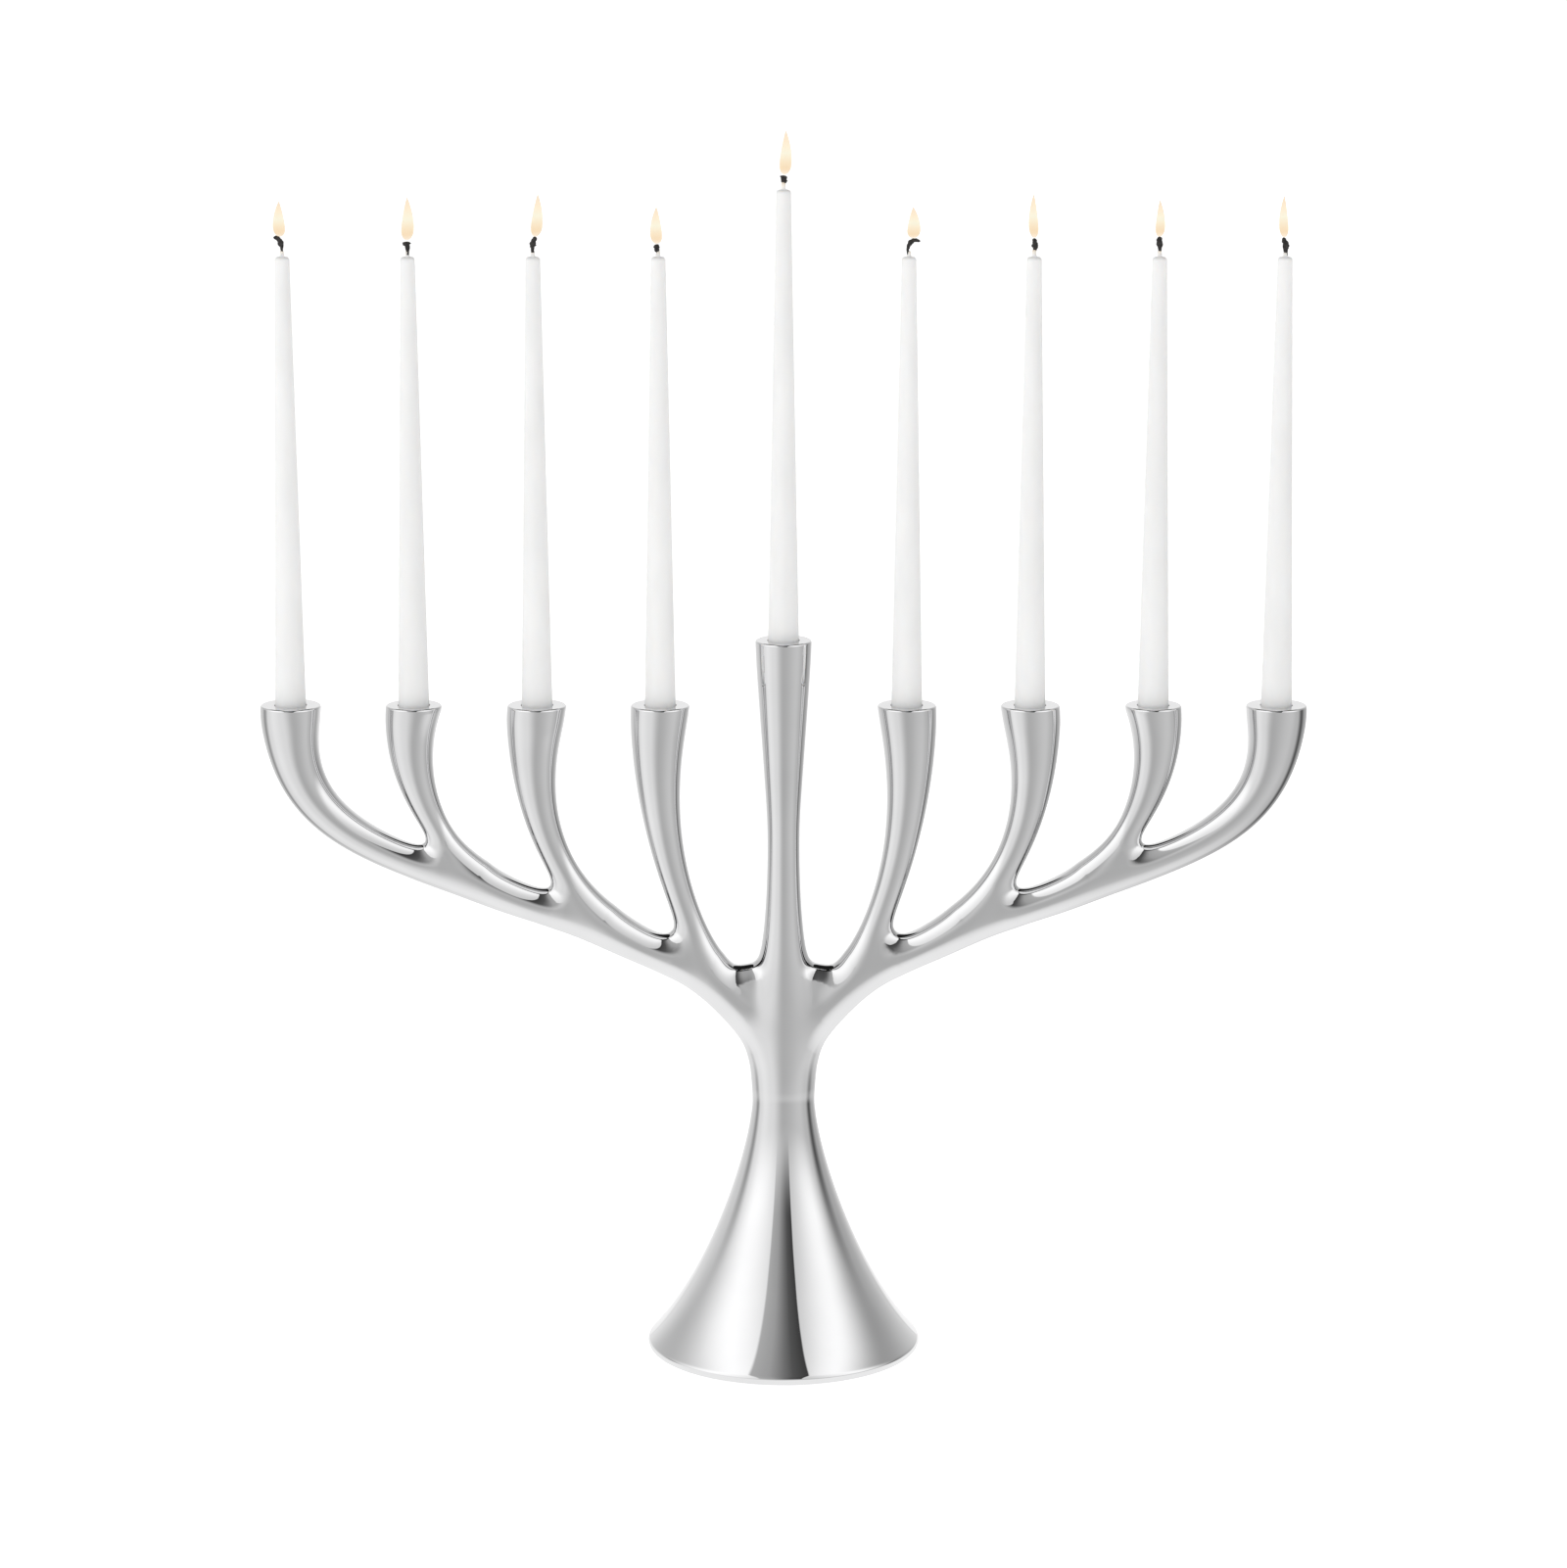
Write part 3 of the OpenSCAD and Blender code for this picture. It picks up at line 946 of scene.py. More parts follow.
foot_ways = square_to(np.vstack([side_line, rim_line, below, hollow]))
count = len(side_line) + len(rim_line)
foot_ways[0] = square_to(side_line)[0]
foot_ways[count - 1] = (0, -1)
foot_ways = np.vstack([[0, 1], foot_ways, [0, -1]])
foot = Gathered()
lathe(foot, outline, foot_ways, ROUND)
foot.piece("foot_skin", ROOT_BODY, "foot", "polished_steel", steel)
print("foot:", len(foot.faces), "faces")

# %% [markdown]
# ## Plate and felt
# The hollow foot is closed by a steel disc, pressed in from below, and the whole object stands on a
# disc of felt. They are seen only when it is lifted, so the frame's own solids stay and get their
# finish: brushed grey steel, and short black felt with a fibrous bump.

# %% Plate and felt


def brushed_plate():
    made, tree, shader, where = material("brushed_plate")
    lines = noise(tree, where, 900, 3, (1, 0.02, 1))
    bump = node(tree, "ShaderNodeBump", {"Height": lines, "Strength": 0.15, "Distance": 0.0003})
    tree.links.new(tint(tree, lines, (0.34, 0.35, 0.36, 1), (0.45, 0.46, 0.47, 1)),
                   shader.inputs["Base Color"])
    tree.links.new(between(tree, lines, 0.32, 0.5), shader.inputs["Roughness"])
    tree.links.new(bump.outputs["Normal"], shader.inputs["Normal"])
    shader.inputs["Metallic"].default_value = 1.0
    return made


def black_felt():
    made, tree, shader, where = material("black_felt")
    fibres = noise(tree, where, 1500, 6)
    clumps = noise(tree, where, 220, 2)
    both = node(tree, "ShaderNodeMath", {0: fibres, 1: clumps}, operation="MULTIPLY").outputs[0]
    bump = node(tree, "ShaderNodeBump", {"Height": both, "Strength": 0.8, "Distance": 0.0005})
    tree.links.new(tint(tree, clumps, (0.014, 0.015, 0.017, 1), (0.035, 0.036, 0.04, 1)),
                   shader.inputs["Base Color"])
    tree.links.new(between(tree, fibres, 0.85, 1.0), shader.inputs["Roughness"])
    tree.links.new(bump.outputs["Normal"], shader.inputs["Normal"])
    shader.inputs["Sheen Weight"].default_value = 0.4
    return made


for name, made in (("base_plate", brushed_plate()), ("felt_pad", black_felt())):
    mesh = frame["nodes"][name].data
    mesh.materials.clear()
    mesh.materials.append(made)
    print(name, "takes", made.name)

# %% [markdown]
# ## Candle wax
# A dipped taper is nearly white, with a soft skin that lets light a little way in. Where it climbs the wick
# its colour is painted warmer, as painted light of the flame just above it. Subsurface scattering does the
# light inside, a broad noise gives the faint bands of dipping.

# %% Wax
# Where the painted warm light of the flame starts and ends, in millimetres above the candle's tip
FLAME_LIGHT_FROM, FLAME_LIGHT_TO = 0.6, 3.4


def candle_wax(name, tip):
    """White wax, with painted warm light of the flame over the last millimetres above the tip, where it
    runs up the wick.
    """
    made, tree, shader, where = material(name)
    high = node(tree, "ShaderNodeSeparateXYZ", {"Vector": where}).outputs["Z"]
    # Painted light: by height above the tip, the wax is mixed towards orange, standing in for the glow of
    # the flame just above.
    flame_light_share = node(tree, "ShaderNodeMapRange", {
        "Value": high, "From Min": (tip + FLAME_LIGHT_FROM) * MM, "From Max": (tip + FLAME_LIGHT_TO) * MM}).outputs[0]
    bands = noise(tree, where, 90, 2, (1, 1, 0.35))
    white = tint(tree, bands, (0.86, 0.86, 0.855, 1), (0.9, 0.9, 0.895, 1))
    mixed = node(tree, "ShaderNodeMix", {0: flame_light_share, 6: white, 7: (0.86, 0.72, 0.55, 1)}, data_type="RGBA")
    tree.links.new(mixed.outputs[2], shader.inputs["Base Color"])
    tree.links.new(between(tree, bands, 0.38, 0.5), shader.inputs["Roughness"])
    fine = node(tree, "ShaderNodeBump", {"Height": bands, "Strength": 0.06, "Distance": 0.0008})
    tree.links.new(fine.outputs["Normal"], shader.inputs["Normal"])
    shader.inputs["Subsurface Weight"].default_value = 0.25
    shader.inputs["Subsurface Radius"].default_value = (0.004, 0.0035, 0.003)
    shader.inputs["Subsurface Scale"].default_value = 0.5
    shader.inputs["Specular IOR Level"].default_value = 0.3
    return made


# %% [markdown]
# ## Candles
# Each candle is a lathe shape too: a butt that fills the bore, a long even taper, and a shoulder that
# the flame has rounded. From there the wax climbs the wick in a thin stem, because the part of the wick
# that doesn't burn yet is soaked with it. No two stems are equally high.

# %% Candles
CANDLE_ROUND = 56
CANDLE_R, TIP_R, SHOULDER = 6.05, 2.9, 1.3
STEM_R, STEM_FLARE = 0.82, 0.9
seats = {"left_4": -4, "left_3": -3, "left_2": -2, "left_1": -1, "centre": 0,
         "right_1": 1, "right_2": 2, "right_3": 3, "right_4": 4}

# How far the waxed foot of each wick stands out of the candle, in millimetres
STEMS = {"left_4": 2.3, "left_3": 2.2, "left_2": 2.0, "left_1": 2.4, "centre": 3.0,
         "right_1": 2.2, "right_2": 2.8, "right_3": 2.4, "right_4": 1.8}


def candle_outline(seat, rim, tip, stem):
    """Outline from the wick down: waxed stem, shoulder, taper, butt with a small chamfer."""
    curl = np.radians(np.arange(0, 81, 20))
    hollow_turn = np.column_stack([STEM_R + STEM_FLARE * (1 - np.cos(curl)),
                                   tip - 0.05 + STEM_FLARE * (1 - np.sin(curl))])
    nipple = np.vstack([[(STEM_R * 0.7, tip + stem), (STEM_R, tip + stem - 0.3)], hollow_turn])
    turn = np.radians(np.arange(80, -1, -10))
    bulge = np.column_stack([TIP_R - SHOULDER + SHOULDER * np.cos(turn),
                             tip - SHOULDER + SHOULDER * np.sin(turn)])
    bulge = bulge[bulge[:, 0] > STEM_R + STEM_FLARE]
    share = np.linspace(0, 1, 50)[1:]
    taper = np.column_stack([TIP_R + (CANDLE_R - TIP_R) * share,
                             tip - SHOULDER + share * (rim - tip + SHOULDER)])
    butt = [(CANDLE_R, rim - 5), (CANDLE_R, seat + 0.5), (CANDLE_R - 0.4, seat + 0.1)]
    return np.vstack([[0, tip + stem], nipple, bulge, taper, butt, [0, seat + 0.1]])


tips = {}
for place_name, number in seats.items():
    low, high = height(f"candle_{place_name}")
    tips[place_name] = high
    outline = candle_outline(low, low + bore_depth, high, STEMS[place_name])
    shell = Gathered()
    lathe(shell, outline, square_to(outline), CANDLE_ROUND, (number * pitch, 0))
    shell.piece(f"taper_{place_name}", f"{place_name}_candle", f"candle_{place_name}", "candle_wax",
                candle_wax(f"candle_wax_{place_name}", high))
print("candles stand", round(tips["centre"] - centre_top, 1), "mm out of their sockets")

# %% [markdown]
# ## Wicks
# A wick is braided cotton. Where it burns it chars, curls over and grows a small crust, and no two do it
# alike. Each wick is a round section carried along its own curve, with a radius that wanders: a sum of
# sines along and round it gives the knots of the braid, and the end swells into a bead.

# %% Wicks
# Middle line of each burnt wick: (right, up) from the candle's tip in millimetres, then the radius at
# the root, in the middle and at the head
WICKS = {
    "left_4": ([(0.2, 2), (0, 3.4), (-0.5, 5.2), (-1.5, 7.2), (-3.2, 7.5)], (0.5, 1.15, 0.75)),
    "left_3": ([(0.1, 2), (0.1, 3.0), (0, 4.0), (-0.1, 5.2), (-0.1, 6.0)], (0.6, 0.95, 1.55)),
    "left_2": ([(0.2, 2), (0, 3.2), (0, 4.8), (0.6, 6.4), (1.3, 7.8)], (0.6, 1.2, 0.85)),
    "left_1": ([(-0.4, 2), (-0.4, 2.8), (-0.5, 3.5), (-0.6, 4.2), (-0.7, 4.9)], (0.55, 1.15, 1.05)),
    "centre": ([(0.1, 2), (0.1, 2.9), (0.1, 3.7), (0.2, 4.6), (0.3, 5.6)], (0.6, 1.15, 1.35)),
    "right_1": ([(-0.2, 2), (-0.2, 3.6), (0.4, 5.6), (2.0, 6.3), (4.4, 6.0)], (0.5, 1.0, 0.6)),
    "right_2": ([(0.2, 2), (0.3, 3.4), (0.2, 4.8), (0.0, 6.2), (-0.2, 7.3)], (0.55, 1.3, 0.8)),
    "right_3": ([(0.1, 2), (0, 3.4), (-0.1, 5.0), (-0.1, 6.6), (0, 7.9)], (0.6, 1.2, 1.05)),
    "right_4": ([(0.3, 1), (0.2, 2.8), (0.1, 4.4), (-0.3, 6.0), (-0.8, 7.6)], (0.7, 1.3, 0.85)),
}
WICK_ROWS, WICK_ROUND = 56, 24
WICK_SUNK = 1.2


def charred_cotton():
    """Black crust: a coarse noise for the lumps, a fine one for the braid."""
    made, tree, shader, where = material("charred_cotton")
    crust = noise(tree, where, 900, 5)
    braid = noise(tree, where, 2600, 2)
    bump = node(tree, "ShaderNodeBump", {"Height": crust, "Strength": 0.9, "Distance": 0.0006})
    tree.links.new(tint(tree, crust, (0.006, 0.006, 0.007, 1), (0.045, 0.04, 0.038, 1)),
                   shader.inputs["Base Color"])
    tree.links.new(between(tree, braid, 0.55, 0.95), shader.inputs["Roughness"])
    tree.links.new(bump.outputs["Normal"], shader.inputs["Normal"])
    return made


# %% A wick along its line


def smooth_line(points, count):
    """A smooth line through a few points: a cubic of the run for each axis that passes near them all."""
    points = np.asarray(points, float)
    run = np.r_[0, np.cumsum(np.linalg.norm(np.diff(points, axis=0), axis=1))]
    fine = np.linspace(0, run[-1], count)
    return np.column_stack([np.polyval(np.polyfit(run, points[:, k], 3), fine) for k in (0, 1)])


def wick_surface(shell, line, radii, middle, tip, seed):
    """Section carried along the line: radius from root to head, times knots, closed by a round end."""
    draw = np.random.default_rng(seed)
    line = smooth_line(np.vstack([[line[0][0], line[0][1] - WICK_SUNK], line[1:]]), WICK_ROWS)
    way = unit(np.gradient(line, axis=0))
    share = np.linspace(0, 1, WICK_ROWS)
    r = np.interp(share, [0, 0.25, 0.55, 0.9, 1], [radii[0], radii[0], radii[1], radii[2], radii[2]])
    head = np.clip((share - 0.86) / 0.14, 0, 1)
    r = r * np.sqrt(np.maximum(1 - head**2, 0.002))
    turn = np.linspace(0, 2 * np.pi, WICK_ROUND, endpoint=False)
    knots = np.zeros((WICK_ROWS, WICK_ROUND))
    for waves, turns, size in ((3, 1, 0.1), (5, 2, 0.09), (8, 3, 0.07), (12, 1, 0.06), (17, 4, 0.05)):
        lag = draw.uniform(0, 2 * np.pi, 2)
        knots += size * (np.sin(waves * np.pi * share + lag[0])[:, None]
                         * np.sin(turns * turn + lag[1] + 2.4 * share[:, None]))
    radius = r[:, None] * (1 + np.minimum(share * 4, 1)[:, None] * knots * 1.5)
    sway = 0.25 * np.sin(share * 5 + draw.uniform(0, 6))
    across = np.column_stack([way[:, 1], -way[:, 0]])
    spot = np.column_stack([middle + line[:, 0], sway, tip + line[:, 1]])[:, None]
    out = (np.cos(turn)[:, None] * np.insert(across, 1, 0, 1)[:, None]
           + np.sin(turn)[:, None] * np.array([0, 1, 0]))
    grid = spot + radius[..., None] * out
    along = np.gradient(grid, axis=0)
    around = np.roll(grid, -1, 1) - np.roll(grid, 1, 1)
    ways = unit(np.cross(around, along) + 1e-9)
    rows = [shell.add(p, w) for p, w in zip(grid, ways)]
    for low, high in zip(rows, rows[1:]):
        shell.face(np.column_stack([low, np.roll(low, -1), np.roll(high, -1), high]))
    for row, centre, w in ((rows[0][::-1], spot[0, 0], (0, 0, -1)), (rows[-1], spot[-1, 0], (0, 0, 1))):
        end = shell.add([centre], [w])[0]
        shell.face(np.column_stack([row, np.roll(row, -1), np.full(WICK_ROUND, end)]))


char = charred_cotton()
for seed, (place_name, (line, radii)) in enumerate(WICKS.items()):
    shell = Gathered()
    wick_surface(shell, line, radii, seats[place_name] * pitch, tips[place_name], seed)
    shell.piece(f"burnt_wick_{place_name}", f"{place_name}_candle", f"wick_{place_name}", "wick_cotton",
                char)
print("wicks:", len(WICKS))

# %% [markdown]
# ## Flames
# A candle flame is a drop of glowing soot, about 15 mm long: wide low down, drawn out to a point, clear
# round the wick and yellow-white above. It has no skin, so its edge fades. The drop is a lathe shape
# whose axis leans a little. The glow is painted by the height along the flame, which is kept in a UV
# map, and the edge fades by the angle at which it is seen, as any thin glowing cloud does.

# %% Flames
# Each flame: foot and tip as (right, up) from the candle's tip, its widest radius, all in millimetres
FLAMES = {
    "left_4": ((-0.6, 7.6), (-0.8, 21.8), 2.5),
    "left_3": ((-0.1, 6.2), (0.2, 23.4), 2.6),
    "left_2": ((1.1, 7.6), (2.2, 24.6), 2.4),
    "left_1": ((-0.4, 4.8), (-0.6, 19.6), 2.45),
    "centre": ((0.4, 5.6), (0.9, 23.2), 2.5),
    "right_1": ((1.6, 7.0), (1.6, 19.6), 2.7),
    "right_2": ((0, 7.2), (-0.4, 24.6), 2.0),
    "right_3": ((-0.2, 7.6), (-0.2, 22.4), 1.95),
    "right_4": ((-0.4, 7.4), (-0.7, 24.0), 1.9),
}
FLAME_ROWS, FLAME_ROUND = 44, 32
WIDEST_AT = 0.25


def flame_glow():
    """Light without a surface: colour by the height, and an edge that fades."""
    made, tree, shader, where = material("flame_glow")
    up = node(tree, "ShaderNodeUVMap", uv_map="height").outputs["UV"]
    share = node(tree, "ShaderNodeSeparateXYZ", {"Vector": up}).outputs["Y"]
    glow = node(tree, "ShaderNodeValToRGB", {"Fac": share})
    glow.color_ramp.elements[0].position, glow.color_ramp.elements[0].color = 0.0, (0.92, 0.70, 0.44, 1)
    glow.color_ramp.elements[1].position, glow.color_ramp.elements[1].color = 1.0, (0.93, 0.76, 0.62, 1)
    for position, colour in ((0.14, (0.92, 0.70, 0.44, 1)), (0.3, (0.96, 0.80, 0.57, 1)),
                             (0.5, (0.97, 0.92, 0.74, 1)), (0.72, (1.0, 0.86, 0.65, 1)),
                             (0.9, (0.96, 0.79, 0.59, 1))):
        glow.color_ramp.elements.new(position).color = colour
    facing = node(tree, "ShaderNodeLayerWeight", {"Blend": 0.5}).outputs["Facing"]
    edge = node(tree, "ShaderNodeMapRange", {
        "Value": facing, "From Min": 0.25, "From Max": 0.95, "To Min": 1.0, "To Max": 0.0},
        interpolation_type="SMOOTHSTEP").outputs[0]
    body = node(tree, "ShaderNodeValToRGB", {"Fac": share})
    body.color_ramp.elements[0].position, body.color_ramp.elements[0].color = 0.0, (0.3, 0.3, 0.3, 1)
    body.color_ramp.elements[1].position, body.color_ramp.elements[1].color = 1.0, (0.5, 0.5, 0.5, 1)
    for position, grey in ((0.16, 0.75), (0.4, 0.95), (0.85, 0.9)):
        body.color_ramp.elements.new(position).color = (grey, grey, grey, 1)
    flicker = between(tree, noise(tree, where, 160, 2), 0.9, 1.05)
    first = node(tree, "ShaderNodeMath", {0: edge, 1: body.outputs["Color"]}, operation="MULTIPLY")
    alpha = node(tree, "ShaderNodeMath", {0: first.outputs[0], 1: flicker}, operation="MULTIPLY",
                 use_clamp=True)
    tree.links.new(glow.outputs["Color"], shader.inputs["Emission Color"])
    tree.links.new(alpha.outputs[0], shader.inputs["Alpha"])
    shader.inputs["Base Color"].default_value = (0, 0, 0, 1)
    shader.inputs["Specular IOR Level"].default_value = 0.0
    shader.inputs["Roughness"].default_value = 1.0
    shader.inputs["Emission Strength"].default_value = 1.0
    return made


# %% The drop


def flame_surface(name, foot_at, tip_at, widest, middle, tip):
    """A drop: a quarter round up to its widest place, then one less a power of the rest of the height;
    its axis runs from foot to tip with a slight bow."""
    share = np.linspace(0, 1, FLAME_ROWS)
    round_foot = np.sqrt(np.clip(1 - (1 - share / WIDEST_AT) ** 2, 0, 1))
    drawn_out = 1 - np.clip((share - WIDEST_AT) / (1 - WIDEST_AT), 0, 1) ** 1.8
    r = widest * np.where(share < WIDEST_AT, round_foot, drawn_out)
    foot_at, tip_at = np.array(foot_at), np.array(tip_at)
    line = foot_at + share[:, None] * (tip_at - foot_at)
    line[:, 0] += 0.35 * np.sin(np.pi * share) * np.sign(tip_at[0] - foot_at[0] + 1e-6)
    turn = np.linspace(0, 2 * np.pi, FLAME_ROUND, endpoint=False)
    shell = Gathered()
    steep = np.gradient(r, line[:, 1])
    rows = []
    for k in range(1, FLAME_ROWS - 1):
        ring = np.column_stack([middle + line[k, 0] + r[k] * np.cos(turn), r[k] * np.sin(turn),
                                np.full(FLAME_ROUND, tip + line[k, 1])])
        way = unit(np.column_stack([np.cos(turn), np.sin(turn), np.full(FLAME_ROUND, -steep[k])]))
        rows.append(shell.add(ring, way))
    for low, high in zip(rows, rows[1:]):
        shell.face(np.column_stack([low, np.roll(low, -1), np.roll(high, -1), high]))
    for row, k, up in ((rows[0][::-1], 0, -1), (rows[-1], -1, 1)):
        end = shell.add([(middle + line[k, 0], 0, tip + line[k, 1])], [(0, 0, up)])[0]
        shell.face(np.column_stack([row, np.roll(row, -1), np.full(FLAME_ROUND, end)]))
    mesh = bpy.data.meshes.new(name)
    places = np.concatenate(shell.points)
    mesh.from_pydata(places * MM, [], shell.faces)
    mesh.polygons.foreach_set("use_smooth", np.ones(len(shell.faces), bool))
    mesh.normals_split_custom_set_from_vertices(np.concatenate(shell.ways))
    corner = np.zeros(len(mesh.loops), int)
    mesh.loops.foreach_get("vertex_index", corner)
    rise = (places[:, 2] - places[:, 2].min()) / np.ptp(places[:, 2])
    about = np.arctan2(places[:, 1], places[:, 0] - middle) / (2 * np.pi) + 0.5
    mesh.uv_layers.new(name="height").data.foreach_set(
        "uv", np.column_stack([about, rise])[corner].ravel())
    made = bpy.data.objects.new(name, mesh)
    bpy.context.scene.collection.objects.link(made)
    return made


glow = flame_glow()
for place_name, (foot_at, tip_at, widest) in FLAMES.items():
    flame = flame_surface(f"flame_{place_name}", foot_at, tip_at, widest, seats[place_name] * pitch,
                          tips[place_name])
    flame.data.materials.append(glow)
    flame.visible_shadow = False
    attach(flame, f"{place_name}_candle")
print("flames:", len(FLAMES))

# %% [markdown]
# ## The room that the steel mirrors
# A mirror shows its room, so a picture of polished steel is a picture of the studio. The room is given
# as a brightness for every direction. Round the object stand large white screens with grey gaps
# between them, given by the angle round the room, once for the height of the table and once for the
# height of the screens. Between the two front screens a dim strip runs from behind the camera up over
# the top, and straight overhead is a black patch. The patch gives the thin black lines on top of the
# arms, the strip gives the dark keyhole on the foot, and the gaps darken the edges of every round bar.
# The same formula lights the sky and tints the far part of the table where the steel mirrors it, so no
# horizon line shows.

# %% The room's brightness in any direction
# The dim strip's left and right edge, each a share of the way to the side, and how soft they are
STRIP_LEFT, STRIP_LEFT_SOFT = -0.34, 0.02
STRIP_RIGHT, STRIP_RIGHT_SOFT = 0.255, 0.01
DIM_ACROSS = ((-0.34, 0.5), (-0.15, 0.4), (0.0, 0.2), (0.1, 0.1), (0.25, 0.05))
# The black patch overhead: its direction, where it starts and is full, and its brightness
DARK_WAY = (0, 0.35, 0.937)
PATCH_START, PATCH_FULL, PATCH_GREY = 0.83, 0.88, 0.012
# Brightness round the room, by the direction in degrees: 0 is behind the camera, 90 is to the right.
# High up: back wall, left gap, left screen, front, right screen, right gap, back wall. The screens are
# brighter than white, which a ramp can't hold, so these are multiplied afterwards.
SCREEN_GLOW = 1.25
HIGH_ROUND = ((-180, 0.8), (-125, 0.45), (-65, 1.0), (10, 0.55), (66, 0.95), (112, 0.3), (180, 0.8))
# Low down the gaps are narrow and dark, and the right screen is duller than the left
LOW_ROUND = ((-180, 1.0), (-125, 0.7), (-107, 0.35), (-90, 0.85), (-70, 0.95), (-40, 0.85), (0, 0.5),
             (60, 0.65), (85, 0.55), (104, 0.1), (125, 0.45), (180, 1.0))


def through(tree, value, stops, low=-1.0, high=1.0, joined="EASE"):
    """Brightness along a value, through a few (value, grey) stops."""
    share = node(tree, "ShaderNodeMapRange", {"Value": value, "From Min": low, "From Max": high}).outputs[0]
    ramp = node(tree, "ShaderNodeValToRGB", {"Fac": share})
    ramp.color_ramp.interpolation = joined
    points = ramp.color_ramp.elements
    while len(points) < len(stops):
        points.new(0.5)
    for point, (at, grey) in zip(points, stops):
        point.position = (at - low) / (high - low)
        point.color = (grey, grey, grey, 1)
    return ramp.outputs["Color"]


def maths(tree, kind, a, b=0.0):
    """One step of arithmetic on two values or links."""
    return node(tree, "ShaderNodeMath", {0: a, 1: b}, operation=kind).outputs[0]


def step_node(tree, value, low, high):
    """0 below low, 1 above high, smooth between."""
    return node(tree, "ShaderNodeMapRange", {"Value": value, "From Min": low, "From Max": high},
                interpolation_type="SMOOTHSTEP").outputs[0]


def blend_grey(tree, share, first, second):
    """first where share is 0, second where it is 1."""
    return node(tree, "ShaderNodeMix", {0: share, 2: first, 3: second}, data_type="FLOAT").outputs[0]


def room_glow(tree, x, y, z):
    """Brightness of the studio in the direction x, y, z (the camera stands towards -y)."""
    forward = maths(tree, "MULTIPLY", y, -1.0)
    round_room = maths(tree, "MULTIPLY", maths(tree, "ARCTAN2", x, forward), 180 / math.pi)
    high = through(tree, round_room, HIGH_ROUND, -180, 180)
    high = maths(tree, "MULTIPLY", high, SCREEN_GLOW)
    low = through(tree, round_room, LOW_ROUND, -180, 180)
    walls = blend_grey(tree, step_node(tree, z, 0.0, 0.3), low, high)
    dim = through(tree, x, DIM_ACROSS, DIM_ACROSS[0][0], DIM_ACROSS[-1][0], "LINEAR")
    back = through(tree, z, ((0, 0.9), (0.4, 0.95), (0.7, 0.8), (1, 0.5)), 0.0, 1.0)
    front = blend_grey(tree, step_node(tree, z, 0.05, 0.4), walls, dim)
    middle = blend_grey(tree, step_node(tree, y, -0.15, 0.1), front, back)
    from_left = step_node(tree, x, STRIP_LEFT - STRIP_LEFT_SOFT, STRIP_LEFT + STRIP_LEFT_SOFT)
    leftward = maths(tree, "MULTIPLY", x, -1.0)
    from_right = step_node(tree, leftward, -STRIP_RIGHT - STRIP_RIGHT_SOFT, -STRIP_RIGHT + STRIP_RIGHT_SOFT)
    inside = maths(tree, "MULTIPLY", from_left, from_right)
    over_y = maths(tree, "MULTIPLY", y, DARK_WAY[1])
    over_z = maths(tree, "MULTIPLY", z, DARK_WAY[2])
    overhead = step_node(tree, maths(tree, "ADD", over_y, over_z), PATCH_START, PATCH_FULL)
    return blend_grey(tree, overhead, blend_grey(tree, inside, walls, middle), PATCH_GREY)


# %% [markdown]
# ## Floor
# The object stands on a plain pale table. It is a flat disc of rings, wide enough that its edge is
# never seen, and it glows a little, so that it is as white as the paper sweep of a studio. Rays that
# come from the steel see another table: bright close by, and one with the room further out.

# %% Floor
FLOOR_R, FLOOR_ROUND = 30.0, 96
TABLE_NEAR, TABLE_FAR = 0.12, 0.42


def pale_floor():
    """A pale table. Where the steel mirrors it, it fades into the room beyond its edge."""
    made, tree, shader, where = material("pale_table")
    grain = noise(tree, where, 3, 3)
    tree.links.new(tint(tree, grain, (0.885, 0.885, 0.885, 1), (0.9, 0.9, 0.9, 1)),
                   shader.inputs["Base Color"])
    shader.inputs["Roughness"].default_value = 0.9
    shader.inputs["Specular IOR Level"].default_value = 0.1
    shader.inputs["Emission Color"].default_value = (1, 1, 1, 1)
    shader.inputs["Emission Strength"].default_value = 0.62
    away = node(tree, "ShaderNodeVectorMath", {0: where}, operation="NORMALIZE").outputs[0]
    axes = node(tree, "ShaderNodeSeparateXYZ", {"Vector": away}).outputs
    reach = node(tree, "ShaderNodeVectorMath", {0: where}, operation="LENGTH").outputs["Value"]
    edge = step_node(tree, reach, TABLE_NEAR, TABLE_FAR)
    beyond_table = blend_grey(tree, edge, 1.0, room_glow(tree, axes["X"], axes["Y"], axes["Z"]))
    mirrored = node(tree, "ShaderNodeEmission", {"Color": beyond_table}).outputs[0]
    glossy = node(tree, "ShaderNodeLightPath").outputs["Is Glossy Ray"]
    mixed = node(tree, "ShaderNodeMixShader", {0: glossy, 1: shader.outputs[0], 2: mirrored})
    tree.links.new(mixed.outputs[0], tree.nodes["Material Output"].inputs["Surface"])
    return made


turn = np.linspace(0, 2 * np.pi, FLOOR_ROUND, endpoint=False)
rings_r = np.array([0.4, 1.0, 2.5, 6.0, FLOOR_R])
spots = np.stack([rings_r[:, None] * np.cos(turn), rings_r[:, None] * np.sin(turn),
                  np.zeros((len(rings_r), FLOOR_ROUND))], -1).reshape(-1, 3)
order = np.arange(len(spots)).reshape(len(rings_r), FLOOR_ROUND)
floor_faces = [order[0].tolist()]
for inner, outer in zip(order, order[1:]):
    floor_faces += np.column_stack([inner, outer, np.roll(outer, -1), np.roll(inner, -1)]).tolist()
floor_mesh = bpy.data.meshes.new("pale_table")
floor_mesh.from_pydata(spots, [], floor_faces)
floor_mesh.materials.append(pale_floor())
floor = bpy.data.objects.new("pale_table", floor_mesh)
bpy.context.scene.collection.objects.link(floor)

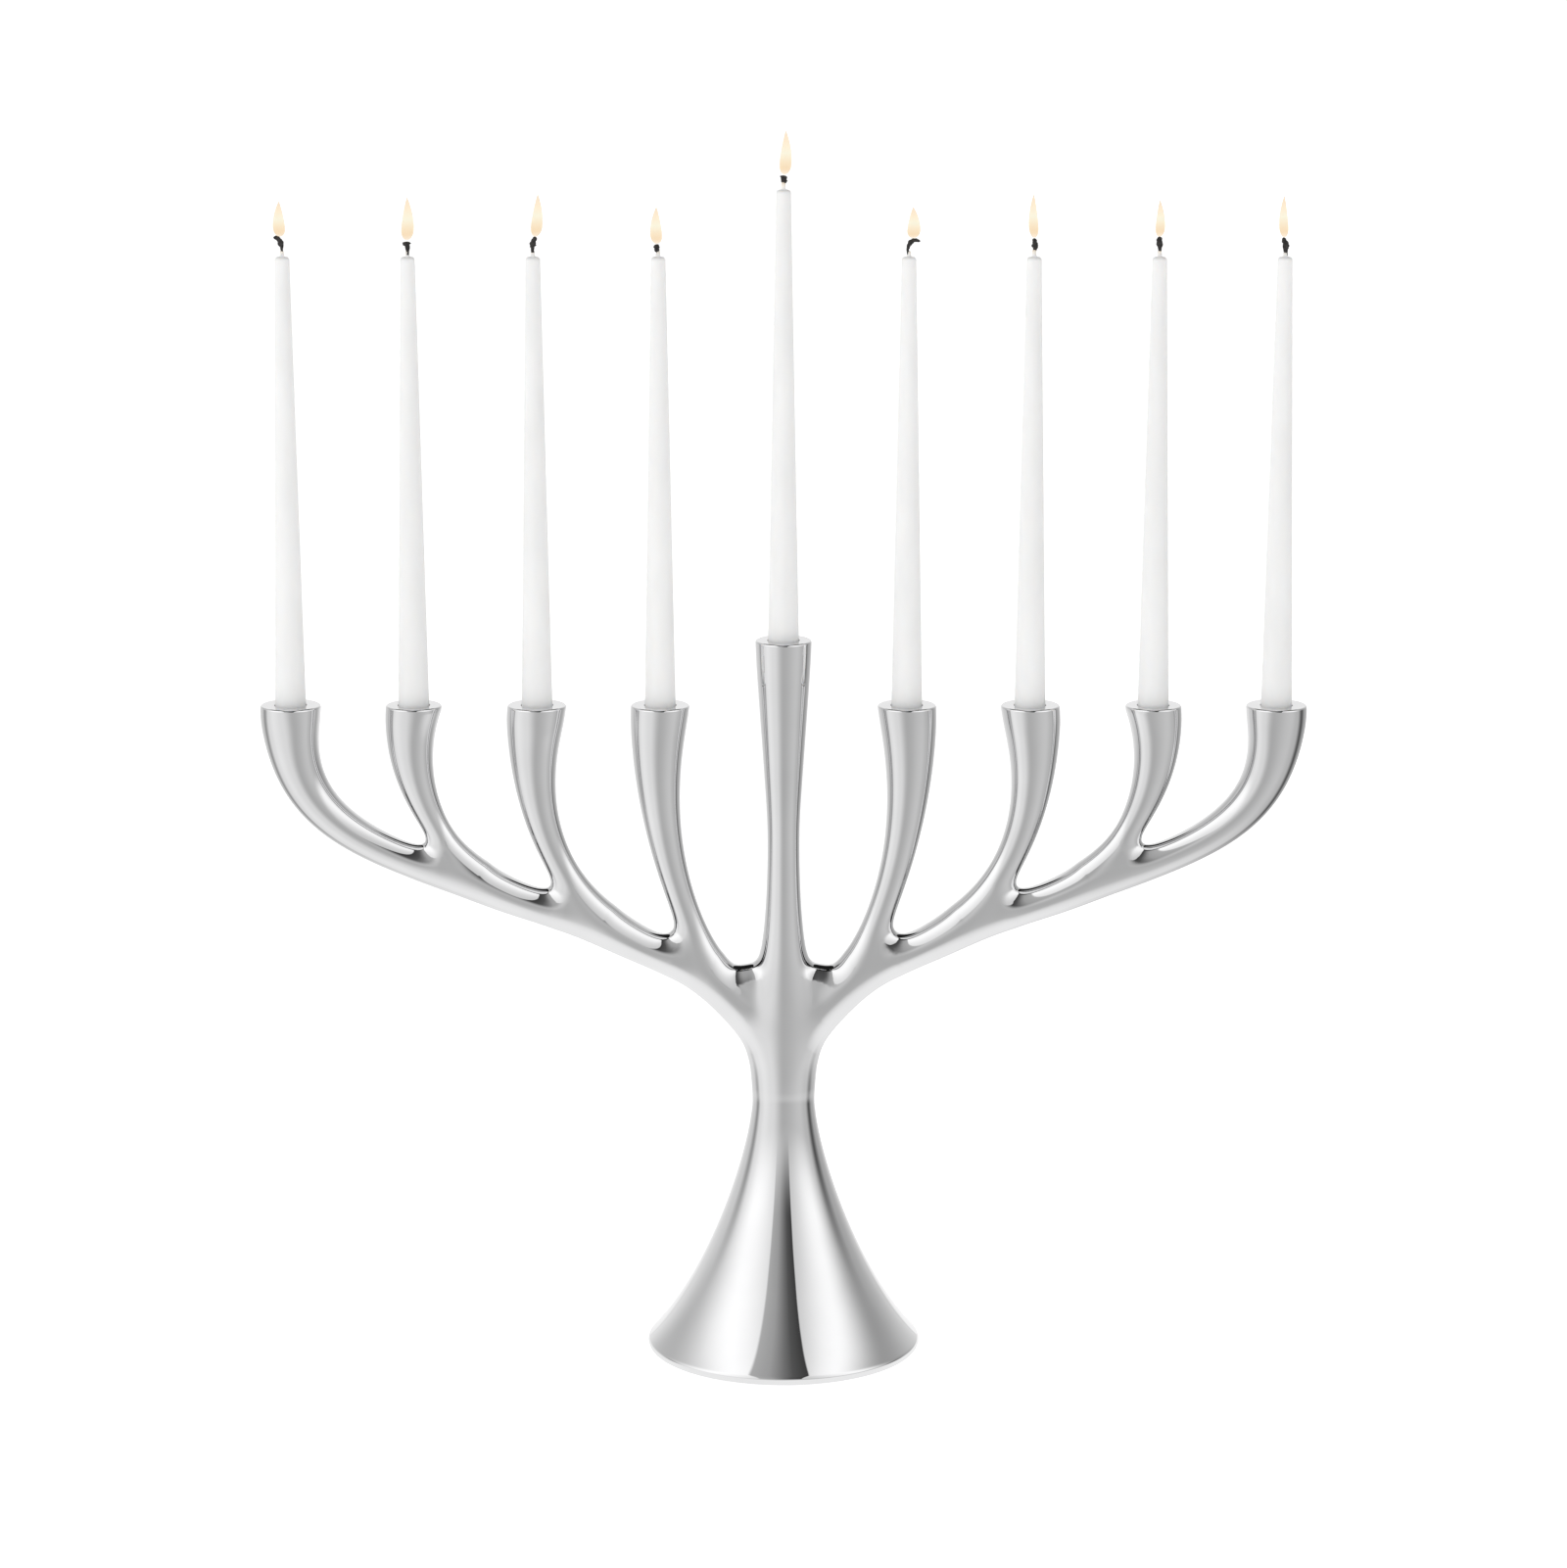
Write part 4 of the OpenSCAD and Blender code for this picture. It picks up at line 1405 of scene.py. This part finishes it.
# %% [markdown]
# ## Sky, lamps and camera
# The room becomes Blender's world. Two soft square lamps add what the matt things need: the left one
# is stronger, so the candles are modelled from the left. The steel doesn't mirror the lamps. The camera
# has a long lens and looks slightly down.

# %% Sky


def room():
    """The studio as a sky. What is seen straight, and not in the steel, is plain white."""
    world = bpy.data.worlds.new("studio")
    world.use_nodes = True
    tree = world.node_tree
    where = node(tree, "ShaderNodeTexCoord").outputs["Generated"]
    axes = node(tree, "ShaderNodeSeparateXYZ", {"Vector": where}).outputs
    seen = node(tree, "ShaderNodeLightPath").outputs["Is Camera Ray"]
    grey = blend_grey(tree, seen, room_glow(tree, axes["X"], axes["Y"], axes["Z"]), 1.0)
    tree.links.new(grey, tree.nodes["Background"].inputs["Color"])
    return world


bpy.context.scene.world = room()

# %% Lamps
MIDDLE_HIGH = 0.22


def soft_light(name, at, size, power):
    """A square soft light that looks at the middle of the candelabrum. The steel mirrors the screens of
    the room and not this light, which only shapes the candles and the table."""
    data = bpy.data.lights.new(name, "AREA")
    data.shape, data.size, data.energy = "SQUARE", size, power
    made = bpy.data.objects.new(name, data)
    made.location = at
    aim = np.array([0, 0, MIDDLE_HIGH]) - np.array(at)
    made.rotation_euler = (math.atan2(math.hypot(*aim[:2]), -aim[2]), 0, math.atan2(-aim[0], aim[1]))
    made.visible_camera = False
    made.visible_glossy = False
    bpy.context.scene.collection.objects.link(made)


soft_light("left_panel", (-2.3, -1.5, 1.3), 1.7, 9)
soft_light("right_panel", (2.3, -1.5, 1.3), 1.7, 1)

# %% Camera
CAMERA_AT, CAMERA_TILT, CAMERA_LENS = (0, -2.185, 0.726), 12.74, 130.25
camera_data = bpy.data.cameras.new("camera")
camera_data.lens, camera_data.sensor_width = CAMERA_LENS, 36
camera = bpy.data.objects.new("camera", camera_data)
camera.location = CAMERA_AT
camera.rotation_euler = (math.radians(90 - CAMERA_TILT), 0, 0)
bpy.context.scene.collection.objects.link(camera)
bpy.context.scene.camera = camera
bpy.context.scene.view_settings.view_transform = "Standard"
